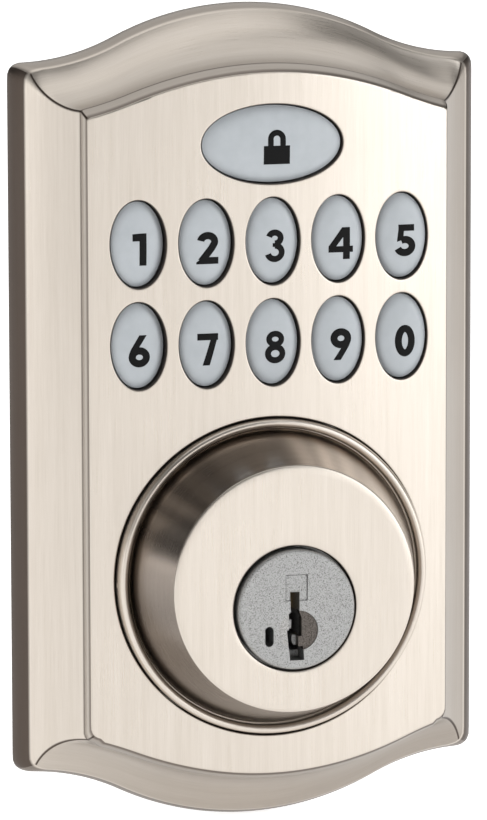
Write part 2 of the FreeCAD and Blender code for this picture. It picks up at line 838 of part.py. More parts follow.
def make_tumblers():
    for i, y in enumerate(tumbler_places()):
        pin = Part.makeCylinder(tumbler_radius, tumbler_high_z - tumbler_low_z,
                                V(0, y, tumbler_low_z), V(0, 0, 1))
        tip = [e for e in pin.Edges if abs(e.BoundBox.ZMax - tumbler_low_z) < 1e-4]
        save("tumbler_pin_%d" % (i + 1), pin.makeChamfer(0.45, tip))
        x = rack_x()
        rack = box(x, x + rack_thick, y - rack_half_width, y + rack_half_width,
                   rack_low_z, rack_high_z)
        for k in range(4):
            z = rack_low_z + 1.2 + k * 1.2
            notch = box(-rack_notch / 2, rack_notch / 2, y - 3, y + 3,
                        -rack_notch / 2, rack_notch / 2)
            notch.rotate(V(0, y, 0), V(0, 1, 0), 45)
            notch.translate(V(x + rack_thick, 0, z))
            rack = rack.cut(notch)
        save("tumbler_rack_%d" % (i + 1), rack)


def coil(radius, length, wire, turns, start, direction):
    """Round-wire spring that starts at a point and runs along a direction."""
    helix = Part.makeHelix(length / turns, length, radius)
    profile = Part.Wire([Part.makeCircle(wire / 2, V(radius, 0, 0), V(0, 1, 0))])
    spring = Part.Wire(helix.Edges).makePipeShell([profile], True, True)
    turn = FreeCAD.Rotation(V(0, 0, 1), direction)
    spring.Placement = FreeCAD.Placement(start, turn)
    return spring


def make_springs():
    radius = tumbler_radius - 0.35
    low = tumbler_high_z + spring_wire
    high = chamber_top_z - spring_wire
    springs = [coil(radius, high - low, spring_wire, spring_turns, V(0, y, low), V(0, 0, 1))
               for y in tumbler_places()]
    for i, spring in enumerate(springs):
        save("tumbler_spring_%d" % (i + 1), spring)
    places = sidebar_spring_places()
    start = sidebar_inner_x + 0.2
    save("sidebar_springs", Part.makeCompound([
        coil(sidebar_spring_radius, sidebar_spring_length, sidebar_spring_wire, spring_turns,
             V(start, y, 0), V(1, 0, 0)) for y in places]))


def sidebar_spring_places():
    return [tumbler_first_y - sidebar_end + 1.2, tumbler_last_y() + sidebar_end - 1.2]


def make_sidebar():
    bar = sidebar_box(0.0)
    for y in sidebar_spring_places():
        pocket = Part.makeCylinder(sidebar_spring_radius + sidebar_spring_wire,
                                   sidebar_spring_length + 0.4,
                                   V(sidebar_inner_x - 0.1, y, 0), V(1, 0, 0))
        bar = bar.cut(pocket)
    nose = [e for e in bar.Edges if e.BoundBox.XMin > plug_radius - 0.2
            and e.BoundBox.YLength > 3]
    save("sidebar", bar.makeChamfer(0.5, nose))


def make_clip():
    y = body_back_y + 0.15
    ring = tube(clip_radius, clip_groove_radius + 0.05, y, y + clip_thick - 0.1)
    half = math.radians(clip_opening / 2)
    far = 2 * clip_radius
    gap = prism([[0, 0], [-far * math.sin(half), -far * math.cos(half)],
                 [far * math.sin(half), -far * math.cos(half)]], y - 1, y + 2)
    save("plug_clip", ring.cut(gap))


def cam_screw_places():
    side = cam_screw_circle * math.sqrt(0.5)
    return [[-side, side], [side, -side]]


def quarter_window(y0, y1):
    """Bow-tie window that lets the blade's tab swing a quarter turn before it drives."""
    half = blade_thick / 2 + blade_gap
    reach = cam_window_radius
    slots = [box(-half, half, y0, y1, -reach, reach), box(-reach, reach, y0, y1, -half, half)]
    slots += [box(0, reach, y0, y1, 0, reach), box(-reach, 0, y0, y1, -reach, 0)]
    return join(slots).common(rod(reach, y0, y1))


def make_cam():
    cam = rod(cam_radius, plug_back_y, cam_back_y)
    cam = cam.cut(quarter_window(plug_back_y - 1, cam_back_y + 1))
    cam = cam.cut(rod(blade_neck_radius + blade_gap, plug_back_y - 1, cam_back_y + 1))
    cap = rod(cam_radius, cam_back_y, cam_back_y + cap_thick)
    cap = cap.cut(rod(blade_neck_radius + blade_gap, cam_back_y - 1, cam_back_y + 3))
    screws = []
    for x, z in cam_screw_places():
        hole = rod(cam_screw_radius + screw_clearance, plug_back_y - 1, cam_back_y + 3, x, z)
        cam = cam.cut(hole)
        cap = cap.cut(hole)
        back = cam_back_y + cap_thick
        screws.append(join([rod(cam_screw_radius, plug_back_y - 2.5, back + 0.2, x, z),
                            rod(1.6 * cam_screw_radius, back, back + 0.6, x, z)]))
    save("driver_cam", cam)
    save("cam_cap", cap)
    save("cam_screws", Part.makeCompound(screws))


def make_blade():
    tab_back = cam_back_y - blade_gap
    half = blade_thick / 2
    tab = box(-half, half, blade_front_y, tab_back, -blade_tab_half, blade_tab_half)
    neck = rod(blade_neck_radius, blade_front_y, cam_back_y + cap_thick + blade_neck_length)
    flat = box(-half, half, blade_front_y, blade_end_y, -blade_width / 2, blade_width / 2)
    tip = [e for e in flat.Edges if abs(e.BoundBox.YMin - blade_end_y) < 1e-4
           and e.BoundBox.XLength > 1]
    flat = flat.makeChamfer(1.2, tip)
    save("torque_blade", join([tab, neck, flat]))


def make_ring():
    start = cover_back_y
    ring = tube(ring_radius, ring_radius - ring_wall, start, ring_depth)
    flange = tube(ring_flange_radius, ring_radius - ring_wall, start, start + ring_flange_thick)
    relief = box(-ring_relief_half, ring_relief_half, start - 1, ring_depth + 1,
                 0, 2 * ring_radius)
    save("bore_ring", join([ring, flange]).cut(relief))


def main():
    os.makedirs("parts", exist_ok=True)
    make_housing()
    make_keys()
    make_membrane()
    make_light_guide()
    make_board()
    make_components()
    make_sounder()
    make_socket()
    make_board_screws()
    make_rear_cover()
    make_cover_screws()
    make_door_seal()
    make_gland()
    make_collar()
    make_collar_seal()
    make_cylinder_body()
    make_collar_screws()
    make_plug()
    make_guards()
    make_tumblers()
    make_springs()
    make_sidebar()
    make_clip()
    make_cam()
    make_blade()
    make_ring()


main()
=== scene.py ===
import bmesh
import bpy
import math
from mathutils import Matrix, Vector
from mathutils.geometry import delaunay_2d_cdt


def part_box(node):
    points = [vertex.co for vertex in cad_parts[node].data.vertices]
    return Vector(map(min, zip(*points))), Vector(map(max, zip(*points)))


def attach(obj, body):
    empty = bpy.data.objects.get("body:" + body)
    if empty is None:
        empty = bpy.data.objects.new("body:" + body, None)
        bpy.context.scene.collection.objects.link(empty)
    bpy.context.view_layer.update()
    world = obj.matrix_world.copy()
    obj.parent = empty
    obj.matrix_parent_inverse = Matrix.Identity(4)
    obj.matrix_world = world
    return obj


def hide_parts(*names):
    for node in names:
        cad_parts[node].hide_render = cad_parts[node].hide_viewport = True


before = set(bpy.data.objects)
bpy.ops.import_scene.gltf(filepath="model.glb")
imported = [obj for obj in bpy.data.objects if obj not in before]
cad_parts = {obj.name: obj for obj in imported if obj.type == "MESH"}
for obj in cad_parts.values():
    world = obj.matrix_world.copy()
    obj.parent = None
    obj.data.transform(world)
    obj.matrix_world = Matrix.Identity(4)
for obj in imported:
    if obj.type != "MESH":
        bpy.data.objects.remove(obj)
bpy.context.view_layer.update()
mm = 0.001


# shader sockets that Python sums can be written with

class Wire:
    def __init__(self, tree, socket):
        self.tree = tree
        self.socket = socket

    def node(self, kind, values=None, output=0, stops=None, **settings):  # any node, settings first
        made = self.tree.nodes.new(kind)
        for key, value in settings.items():
            setattr(made, key, value)
        if stops:
            ramp = made.color_ramp
            while len(ramp.elements) < len(stops):
                ramp.elements.new(0.5)
            for element, (place, colour) in zip(ramp.elements, stops):
                element.position = place
                element.color = colour if len(colour) == 4 else (*colour, 1)
        for key, value in (values or {}).items():
            if isinstance(value, Wire):
                self.tree.links.new(value.socket, made.inputs[key])
            else:
                made.inputs[key].default_value = value
        return Wire(self.tree, made.outputs[output])

    def math(self, operation, *others):
        values = dict(enumerate((self,) + others))
        return self.node("ShaderNodeMath", values, operation=operation)

    def __add__(self, other):
        return self.math("ADD", other)

    def __mul__(self, other):
        return self.math("MULTIPLY", other)

    def __sub__(self, other):
        return self.math("SUBTRACT", other)

    def __rsub__(self, other):
        return self.node("ShaderNodeMath", {0: other, 1: self}, operation="SUBTRACT")

    __radd__ = __add__
    __rmul__ = __mul__

    def clip(self):
        return self.node("ShaderNodeMath", {0: self, 1: 0.0}, operation="ADD", use_clamp=True)

    def step(self, low, high):  # 0 below low, 1 above high
        return self.node("ShaderNodeMapRange", {0: self, 1: low, 2: high, 3: 0.0, 4: 1.0},
                         interpolation_type="SMOOTHSTEP")

    def scaled(self, *factors):
        return self.node("ShaderNodeVectorMath", {0: self, 1: factors}, operation="MULTIPLY")

    def part(self, axis):
        return self.node("ShaderNodeSeparateXYZ", {0: self}, output=axis)

    def noise(self, scale=1.0, detail=3.0, roughness=0.55):
        return self.node("ShaderNodeTexNoise", {"Vector": self, "Scale": scale, "Detail": detail,
                                                "Roughness": roughness})

    def cells(self, scale=1.0, feature="F1"):
        return self.node("ShaderNodeTexVoronoi", {"Vector": self, "Scale": scale}, feature=feature)


def blend(amount, low, high):  # colour mix
    return amount.node("ShaderNodeMix", {0: amount, 6: low, 7: high}, output=2, data_type="RGBA")


def hexColour(text, gain=1.0):
    channels = [int(text[i:i + 2], 16) / 255 for i in (0, 2, 4)]
    linear = [c / 12.92 if c <= 0.04045 else ((c + 0.055) / 1.055) ** 2.4 for c in channels]
    return (*[min(c * gain, 1.0) for c in linear], 1.0)


def finish(name, fixed, varying):
    material = bpy.data.materials.new(name)
    material.use_nodes = True
    tree = material.node_tree
    shader = tree.nodes["Principled BSDF"]
    for key, value in fixed.items():
        shader.inputs[key].default_value = value
    spot = Wire(tree, tree.nodes.new("ShaderNodeTexCoord").outputs["Object"]).scaled(1000, 1000, 1000)
    made = varying(spot)
    relief, distance = made.pop("height")
    for key, value in made.items():
        tree.links.new(value.socket, shader.inputs[key])
    lifted = spot.node("ShaderNodeBump", {"Height": relief, "Distance": distance * mm, "Strength": 1.0})
    tree.links.new(lifted.socket, shader.inputs["Normal"])
    return material


# mesh building: points are in millimetres, shared where they meet

def placePiece(name, mesh, body, replaced=()):
    made = bpy.data.objects.new(name, mesh)
    bpy.context.scene.collection.objects.link(made)
    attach(made, body)
    for node in replaced:
        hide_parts(node)
    return made


class Shell:
    def __init__(self):
        self.points = []
        self.known = {}
        self.faces = []
        self.grain = []
        self.paintedLightLevels = []
        self.parts = []

    def point(self, place, paintedLight):
        key = tuple(round(c, 4) for c in place)
        if key not in self.known:
            self.known[key] = len(self.points)
            self.points.append(place)
            self.paintedLightLevels.append(paintedLight)
        return self.known[key]

    def face(self, corners, grain, part=0):
        kept = [(c, g) for i, (c, g) in enumerate(zip(corners, grain)) if c != corners[i - 1]]
        if len({c for c, g in kept}) > 2:
            self.faces.append([c for c, g in kept])
            self.grain.append([g for c, g in kept])
            self.parts.append(part)

    def grid(self, rows, grain=None, paintedLight=None, closed=False, flip=False, part=0):
        count = len(rows[0])
        ids = [[self.point(p, paintedLight(i, j) if paintedLight else 1.0) for j, p in enumerate(row)]
               for i, row in enumerate(rows)]
        last = count if closed else count - 1
        for i in range(len(rows) - 1):
            for j in range(last):
                k = (j + 1) % count
                square = [(i, j), (i, k), (i + 1, k), (i + 1, j)]
                if flip:
                    square.reverse()
                if grain:  # the last column's mark runs on past the seam
                    marks = [grain(a, j + 1 if b == 0 and j > 0 else b) for a, b in square]
                else:
                    marks = [(rows[a][b][0], rows[a][b][2]) for a, b in square]
                self.face([ids[a][b] for a, b in square], marks, part)

    def flat(self, loops, spots, height, hidden, flip=False, paintedLight=1.0, part=0):
        flatPoints = []
        edges = []
        for loop in loops:
            first = len(flatPoints)
            flatPoints += [Vector(p) for p in loop]
            edges += [(first + i, first + (i + 1) % len(loop)) for i in range(len(loop))]
        flatPoints += [Vector(p) for p in spots]
        outer = list(range(len(loops[0])))
        made = delaunay_2d_cdt(flatPoints, edges, [outer], 1, 1e-6, False)
        for triangle in made[2]:
            corners = [made[0][i] for i in triangle]
            middle = sum(corners, Vector((0, 0))) / len(corners)
            if hidden(middle.x, middle.y):
                continue
            ids = [self.point((c.x, height(c.x, c.y), c.y), paintedLight) for c in corners]
            marks = [(c.x, c.y) for c in corners]
            if flip:
                ids.reverse()
                marks.reverse()
            self.face(ids, marks, part)

    def build(self, name, materials, body, slot, replaced=(), smooth=True):
        mesh = bpy.data.meshes.new(name)
        mesh.from_pydata([[c * mm for c in p] for p in self.points], [], self.faces)
        layer = mesh.uv_layers.new(name="grain")
        flatMarks = [c for marks in self.grain for mark in marks for c in mark]
        layer.data.foreach_set("uv", flatMarks)
        # per-point painted light level: 1 plain metal, 0 full painted shade; the nickel finishes darken the
        # colour by it
        paintedLightLevels = mesh.attributes.new("paintedLight", "FLOAT", "POINT")
        paintedLightLevels.data.foreach_set("value", self.paintedLightLevels)
        mesh.polygons.foreach_set("material_index", self.parts)
        mesh.polygons.foreach_set("use_smooth", [smooth] * len(self.faces))
        for material in materials:
            mesh.materials.append(material)
        mesh.validate()
        mesh.update()
        return placePiece(name, mesh, body, replaced)


def ellipse(x, z, a, b, grow=0.0, count=96):  # oval loop, moved out along its normals by grow
    loop = []
    for i in range(count):
        turn = 2 * math.pi * i / count
        nx = math.cos(turn) / a
        nz = math.sin(turn) / b
        long = math.hypot(nx, nz)
        loop.append((x + a * math.cos(turn) + grow * nx / long,
                     z + b * math.sin(turn) + grow * nz / long))
    return loop


def lathe(shell, profile, x=0.0, z=0.0, count=96, paintedLight=None, flip=False, part=0, grain=True):
    rows = []
    marks = []
    walked = 0.0
    for i, (radius, y) in enumerate(profile):
        if i:
            walked += math.hypot(radius - profile[i - 1][0], y - profile[i - 1][1])
        rows.append([(x + radius * math.cos(2 * math.pi * k / count), y,
                      z + radius * math.sin(2 * math.pi * k / count)) for k in range(count)])
        marks.append(walked)
    wide = max(radius for radius, y in profile)

    def mark(i, j):
        return (marks[i], wide * 2 * math.pi * j / count)

    shell.grid(rows, mark if grain else None, paintedLight, closed=True, flip=flip, part=part)


def rounded(points, radius, steps=4):  # turns a profile's corners into short arcs
    if radius <= 0:
        return points
    made = [points[0]]
    for before, corner, after in zip(points, points[1:], points[2:]):
        a = Vector(before) - Vector(corner)
        b = Vector(after) - Vector(corner)
        reach = min(radius, a.length / 2.2, b.length / 2.2)
        start = Vector(corner) + a.normalized() * reach
        end = Vector(corner) + b.normalized() * reach
        for k in range(steps + 1):
            t = k / steps
            p = start * (1 - t) ** 2 + Vector(corner) * 2 * t * (1 - t) + end * t * t
            made.append((p.x, p.y))
    return made + [points[-1]]


# the case: crowned face, stepped edge, hollow side bevels and coves, rounded lip

case = {
    "halfWidth": 36.0, "halfHeight": 61.4, "middle": 25.5, "depth": 16.7,
    "rise": 8.2, "shoulder": 34.6, "turn": 20.0, "corner": 1.8,
    "faceHalf": 27.5, "faceTop": 52.3, "crown": 172.0,
    "arch": 53.0, "archTurn": 21.0, "archHollow": 45.0,
    "stepDepth": 2.3, "stepSide": 0.4, "stepTop": 1.1,
    "lipSide": 2.2, "lipTop": 0.9, "lipDepth": 3.5,
    "bevelSag": 0.45, "coveSag": 1.5, "stepSag": 0.15, "lipSag": 0.35,
    "wall": 2.2, "innerY": -12.9, "edge": 0.2, "faceCorner": 1.7,
}
keypad = {
    "pitch": 10.08, "rows": (52.9, 37.9), "halfWidth": 4.14, "halfHeight": 6.48,
    "lockWidth": 10.8, "lockHeight": 5.88, "lockZ": 67.2, "holeEdge": 0.22,
}
collar = {"z": 2.9, "radius": 23.7, "gap": 0.2}
posts = {  # inside the case: radius, bore and end for the board's, the cover's and the collar's
    "sizes": ((1.8, 0.92, -8.4), (2.0, 1.12, -3.2), (3.2, 1.47, -11.6)),
    "board": ((15.12, 45.4), (17.0, 69.8)),
    "cover": ((25.5, 66.0), (25.5, 29.5), (24.0, -19.0)),
    "earReach": 27.4,
}


def crownAt(x):
    side = min(abs(x), case["faceHalf"])
    return -case["depth"] + side * side / (2 * case["crown"])


def faceTopAt(x):
    side = abs(x)
    start = min(side, case["archTurn"])
    drop = start * start / (2 * case["arch"])
    if side > case["archTurn"]:
        run = side - case["archTurn"]
        drop += run * case["archTurn"] / case["arch"] - run * run / (2 * case["archHollow"])
    return case["faceTop"] - drop


def outlineTopAt(x):
    side = min(abs(x), case["shoulder"])
    turn = 2 * math.atan(case["rise"] / case["shoulder"])
    crest = case["turn"] / math.sin(turn)
    hollow = (case["shoulder"] - case["turn"]) / math.sin(turn)
    if side < case["turn"]:
        return case["halfHeight"] - crest + math.sqrt(crest ** 2 - side ** 2)
    run = case["shoulder"] - side
    return case["halfHeight"] - case["rise"] + hollow - math.sqrt(hollow ** 2 - run ** 2)


def legAt(leg, share):  # (depth, outward) at a share of the leg's depth, on its arc
    (d0, o0), (d1, o1), sag = leg
    deep = d1 - d0
    out = o1 - o0
    long = math.hypot(deep, out)
    bow = 4 * sag * out / long
    b = deep + bow
    c = share * deep
    t = 2 * c / (b + math.sqrt(max(b * b - 4 * bow * c, 0.0)))
    return d0 + c, o0 + out * t - 4 * t * (1 - t) * sag * deep / long


def legsFor(top, outline, crown, stepOut, lipIn, sag):
    start = (crown, top)
    step = (crown + case["stepDepth"], top + stepOut)
    lip = (-case["lipDepth"], outline - lipIn)
    return [(start, step, -case["stepSag"]), (step, lip, sag), (lip, (0.0, outline), -case["lipSag"])]


sideLegs = legsFor(case["faceHalf"], case["halfWidth"], crownAt(case["faceHalf"]),
                   case["stepSide"], case["lipSide"], case["bevelSag"])


def topLegs(x):
    return legsFor(faceTopAt(x), outlineTopAt(x), crownAt(x), case["stepTop"], case["lipTop"],
                   case["coveSag"])


def mouldingLevels():  # (kind, share or turn), from the face's edge to the back
    levels = [("edge", turn) for turn in (0.0, 0.4, 0.8, 1.2)]
    levels += [(0, share) for share in (0.12, 0.3, 0.5, 0.7, 0.88, 0.97, 1.0)]
    levels += [(1, share) for share in (0.015, 0.04)]
    levels += [(1, i / 16) for i in range(1, 16)]
    levels += [(1, share) for share in (0.97, 0.99, 1.0)]
    levels += [(2, share) for share in (0.04, 0.12, 0.25, 0.4, 0.55, 0.7, 0.85, 0.95, 1.0)]
    return levels


def levelPoint(legs, level):
    kind, share = level
    if kind == "edge":
        (d0, o0), step, sag = legs[0]
        r = case["edge"]
        return d0 + r - r * math.cos(share), o0 - r + r * math.sin(share)
    return legAt(legs[kind], share)


def cornerRound(level, sign):  # only the face's lower corners are round
    kind, share = level
    inner = case["faceCorner"] if sign < 0 else 0.3
    if kind in ("edge", 0):
        return inner
    if kind == 1:
        return 0.25 + (inner - 0.25) * (1 - share) ** 3 + case["corner"] * share ** 6
    return case["corner"] + 0.25


def pulledIn(x, z, cornerX, cornerZ, radius):  # rounds off an upright corner
    dx = abs(x) - (cornerX - radius)
    dz = abs(z) - (cornerZ - radius)
    long = math.hypot(dx, dz)
    if dx > 0 and dz > 0 and long > radius:
        x = math.copysign(cornerX - radius + dx * radius / long, x)
        z = math.copysign(cornerZ - radius + dz * radius / long, z)
    return x, z


def acrossPlaces(count):  # -1 to 1, crowded towards the mitres, in shares of the half width
    near = [0.0, 0.004, 0.009, 0.016, 0.03, 0.05]
    middle = [0.05 + (1.95 - 0.05) * i / count for i in range(1, count)]
    ends = [2 - n for n in reversed(near)]
    return [-1 + n for n in near + middle + ends]


def innerHalfWidth(y):
    front = case["faceHalf"] - 0.8 * case["wall"]
    back = case["halfWidth"] - case["lipSide"] - case["wall"]
    share = (y - case["innerY"]) / (-case["lipDepth"] - case["innerY"])
    return front + (back - front) * min(max(share, 0.0), 1.0)


def innerHalfHeight(x, y):
    front = faceTopAt(x) - 0.55 * case["wall"]
    back = outlineTopAt(x) - case["lipTop"] - 1.05 * case["wall"]
    share = (y - case["innerY"]) / (-case["lipDepth"] - case["innerY"])
    return front + (back - front) * min(max(share, 0.0), 1.0)


def keyPlaces():
    names = ["key_1", "key_2", "key_3", "key_4", "key_5", "key_6", "key_7", "key_8", "key_9", "key_0"]
    places = []
    for i, name in enumerate(names):
        places.append((name, (i % 5 - 2) * keypad["pitch"], keypad["rows"][i // 5],
                       keypad["halfWidth"], keypad["halfHeight"]))
    places.append(("lock_button", 0.0, keypad["lockZ"], keypad["lockWidth"], keypad["lockHeight"]))
    return places


def caseStrips():  # each side's rows from the face's edge round the back and in to the front plate
    levels = mouldingLevels()
    places = acrossPlaces(84)
    middle = case["middle"]
    inner = [0.0, -0.5, -case["lipDepth"], -8.0, case["innerY"]]
    strips = {"top": [], "bottom": [], "left": [], "right": []}
    info = []
    walked = 0.0
    before = None
    for level in levels:
        depth, wide = levelPoint(sideLegs, level)
        tall = levelPoint(topLegs(wide), level)[1]
        if before:
            walked += math.hypot(depth - before[0], wide - before[1])
        before = (depth, wide)
        info.append((level, walked))
        for sign, name in ((1, "top"), (-1, "bottom")):
            row = []
            for v in places:
                x = v * wide
                y, z = levelPoint(topLegs(x), level)
                if abs(v) == 1:
                    y = depth
                px, pz = pulledIn(x, sign * z, wide, tall, cornerRound(level, sign))
                row.append((px, y, middle + pz))
            strips[name].append(row)
        for sign, name in ((-1, "left"), (1, "right")):
            row = []
            for v in places:
                px, pz = pulledIn(sign * wide, v * tall, wide, tall, cornerRound(level, v))
                row.append((px, depth, middle + pz))
            strips[name].append(row)
    for y in inner:
        wide = innerHalfWidth(y)
        walked += 3.0
        info.append((("inner", y), walked))
        for sign, name in ((1, "top"), (-1, "bottom")):
            strips[name].append([(v * wide, y, middle + sign * innerHalfHeight(v * wide, y))
                                 for v in places])
        for sign, name in ((-1, "left"), (1, "right")):
            tall = innerHalfHeight(wide, y)
            strips[name].append([(sign * wide, y, middle + v * tall) for v in places])
    return strips, info, places


def stripPaintedLight(name, level, v):  # painted light level: 1 plain metal, 0 the darkest painted shade
    kind, share = level
    paintedLight = 1.0
    # the last row of the face's rounded edge: a dark painted shade line
    if kind == "edge":
        paintedLight = 0.3 if share > 0.9 else 1.0
    # the step strip: painted shade set per side, darker still at both creases
    if kind == 0:
        paintedLight = {"left": 0.72, "right": 0.5, "top": 0.7, "bottom": 0.5}[name]
        if share < 0.2 or share > 0.96:
            paintedLight *= 0.45
    # the cove: painted shade and painted reflection set per side; the top lighter away from the step, the
    # bottom darker towards the right and near the step, all dark at the crease
    if kind == 1:
        hollow = 0.66 + 0.34 * min(share * 2.2, 1.0)
        paintedLight = {"left": 0.95, "right": 0.58, "top": hollow, "bottom": 0.66 - 0.12 * v}[name]
        if share < 0.02:
            paintedLight *= 0.3
        if name == "bottom" and share < 0.25:
            paintedLight = 0.55 + share
    # the rounded lip: painted reflection of dark surroundings, darkest on the left and right
    if kind == 2:
        paintedLight = {"left": 0.1, "right": 0.1, "top": 0.6, "bottom": 0.3}[name]
        if share < 0.05:
            paintedLight = 1.0
    # painted shade lines along the mitres at the strips' ends
    if kind in (0, 1) and 1 - abs(v) < 0.006:
        paintedLight *= 0.1
    return paintedLight


def loopOf(strips, index):  # one closed ring through the four strips
    top = strips["top"][index]
    right = strips["right"][index]
    bottom = strips["bottom"][index]
    left = strips["left"][index]
    ring = top + right[::-1] + bottom[::-1] + left
    kept = []
    for p in ring:
        if not kept or math.dist(p, kept[-1]) > 1e-4:
            kept.append(p)
    if math.dist(kept[0], kept[-1]) < 1e-4:
        kept.pop()
    return kept


def gridSpots(step, xLow, xHigh, zLow, zHigh, allowed):
    spots = []
    row = 0
    z = zLow
    while z < zHigh:
        x = xLow + (step / 2 if row % 2 else 0)
        while x < xHigh:
            if allowed(x, z):
                spots.append(Vector((x, z)))
            x += step
        z += step * 0.87
        row += 1
    return spots


def edgeCount(hole):  # points round an opening
    return 256 if hole[0] == "collar" else 120


def insideOval(x, z, oval, grow):
    name, cx, cz, a, b = oval
    return ((x - cx) / (a + grow)) ** 2 + ((z - cz) / (b + grow)) ** 2 < 1


def makeCase(metal):
    shell = Shell()
    strips, info, places = caseStrips()
    flips = {"top": False, "bottom": True, "left": False, "right": True}
    for name, rows in strips.items():
        along = 0 if name in ("top", "bottom") else 2

        def mark(i, j, rows=rows, along=along):
            return info[i][1] + 60, rows[i][j][along]

        # painted light level of each strip's rows
        def paintedLight(i, j, name=name):
            return stripPaintedLight(name, info[i][0], places[j])

        shell.grid(rows, mark, paintedLight, flip=flips[name])

    ovals = keyPlaces()
    ring = ("collar", 0.0, collar["z"], collar["radius"] + collar["gap"], collar["radius"] + collar["gap"])
    holes = ovals + [ring]
    edge = keypad["holeEdge"]
    half = case["faceHalf"]

    def hidden(x, z):
        return any(insideOval(x, z, hole, edge * 0.98) for hole in holes)

    def clear(x, z):
        inFace = abs(x) < half - 0.9 and abs(z - case["middle"]) < faceTopAt(x) - 0.9
        corner = abs(x) > half - 2.4 and abs(z - case["middle"]) > faceTopAt(half) - 2.4
        return inFace and not corner and not any(insideOval(x, z, hole, 0.8) for hole in holes)

    outer = [(p[0], p[2]) for p in loopOf(strips, 0)]
    loops = [outer]
    loops += [ellipse(*hole[1:], grow=edge, count=edgeCount(hole)) for hole in holes]
    spots = gridSpots(1.3, -half, half, case["middle"] - 53, case["middle"] + 53, clear)
    for inset in (0.15, 0.45):  # rows just inside each edge, so that the flat face shades flat up to it
        for x, z in outer:
            down = (z - case["middle"]) * (1 - inset / 45)
            spots.append(Vector((x * (1 - inset / half), case["middle"] + down)))
        for hole in holes:
            spots += [Vector(p) for p in ellipse(*hole[1:], grow=edge + inset, count=edgeCount(hole))]
    shell.flat(loops, spots, lambda x, z: crownAt(x), hidden)

    for hole in holes:  # rounded edge and wall of every opening
        count = edgeCount(hole)
        rows = []
        for turn in (0.0, 0.4, 0.8, 1.2, math.pi / 2):
            loop = ellipse(*hole[1:], grow=edge * (1 - math.sin(turn)), count=count)
            rows.append([(x, crownAt(x) + edge * (1 - math.cos(turn)), z) for x, z in loop])
        loop = ellipse(*hole[1:], grow=0.0, count=count)
        rows.append([(x, -14.6, z) for x, z in loop])
        rows.append([(x, case["innerY"], z) for x, z in loop])

        # painted shade: the rounded edge a little darker, the wall inside the opening dark
        def wallPaintedLight(i, j):
            return 0.7 if i < 2 else 0.12

        shell.grid(rows, None, wallPaintedLight, closed=True)

    back = [(p[0], p[2]) for p in loopOf(strips, len(info) - 1)]
    backLoops = [back] + [ellipse(*hole[1:], count=edgeCount(hole)) for hole in holes]
    # the inside of the face plate is given painted shade
    shell.flat(backLoops, [], lambda x, z: case["innerY"],
               lambda x, z: any(insideOval(x, z, hole, -0.02) for hole in holes), flip=True, paintedLight=0.6)

    boardSpots = [(s * x, z) for x, z in posts["board"] for s in (-1, 1)]
    coverSpots = [(s * x, z) for x, z in posts["cover"] for s in (-1, 1)]
    earTurns = [math.pi * (2 * i + 1) / 4 for i in range(4)]
    earSpots = [(posts["earReach"] * math.cos(a), collar["z"] + posts["earReach"] * math.sin(a))
                for a in earTurns]
    for (radius, bore, back), spots in zip(posts["sizes"], (boardSpots, coverSpots, earSpots)):
        profile = rounded([(radius, case["innerY"] - 0.2), (radius, back),
                           (bore, back), (bore, case["innerY"] - 0.2), (0.0, case["innerY"] - 0.2)], 0.15, 2)
        for x, z in spots:
            # the posts inside the case are given painted shade
            lathe(shell, profile, x, z, 32, lambda i, j: 0.6, flip=True)
    return shell.build("case", [metal], "lock_case", "satin_nickel", ["housing"])


# keys, their printed figures and the lock button's padlock

keyCap = {"gap": 0.25, "inset": 1.0, "dome": 0.8, "edgeStart": 0.74, "flange": 0.6,
          "flangeFront": -12.75, "flangeBack": -11.85, "around": 96}
figures = {"height": 4.75, "stroke": 1.08, "shiftX": 0.35, "perColumn": 0.12, "shiftZ": -0.75,
           "step": 0.3, "lift": 0.012}


def keyFront(key, x, z):  # how far forward the cap's dome is at x, z
    name, cx, cz, a, b = key
    a -= keyCap["gap"]
    b -= keyCap["gap"]
    u = min(math.hypot((x - cx) / a, (z - cz) / b), 1.0)
    start = keyCap["edgeStart"]
    rise = 0.42 * (1 - (max(u - start, 0.0) / (1 - start)) ** 2) + 0.58 * (1 - u * u)
    return crownAt(cx) + keyCap["inset"] - keyCap["dome"] * rise


def makeKey(key, cap):
    shell = Shell()
    name, cx, cz, a, b = key
    a -= keyCap["gap"]
    b -= keyCap["gap"]
    count = keyCap["around"]
    wide = keyCap["gap"] + keyCap["flange"]
    front = keyCap["flangeFront"]
    back = keyCap["flangeBack"]
    rim = crownAt(cx) + keyCap["inset"]
    levels = [(-a * 0.98, back), (wide - 0.1, back), (wide, back - 0.1), (wide, front + 0.1),
              (wide - 0.1, front), (0.08, front), (0.0, front - 0.1), (0.0, rim - 0.05)]
    rows = []
    for grow, y in levels:
        loop = ellipse(cx, cz, a, b, grow, count) if grow > -1 else [(cx, cz)] * count
        rows.append([(x, y, z) for x, z in loop])
    shares = [1.0, 0.995, 0.985, 0.97, 0.95, 0.92, 0.89, 0.86]
    shares += [0.86 * (1 - i / 14) for i in range(1, 14)] + [0.0]
    for share in shares[1:]:
        loop = ellipse(cx, cz, a * share, b * share, 0.0, count) if share else [(cx, cz)] * count
        rows.append([(x, keyFront(key, x, z), z) for x, z in loop])
    shell.grid(rows, closed=True)
    return shell.build(name + "Cap", [cap], name + "_body", "key_cap", [name])


def arc(x, z, a, b, start, end, count=26):
    points = []
    for i in range(count + 1):
        turn = math.radians(start + (end - start) * i / count)
        points.append((x + a * math.cos(turn), z + b * math.sin(turn)))
    return points


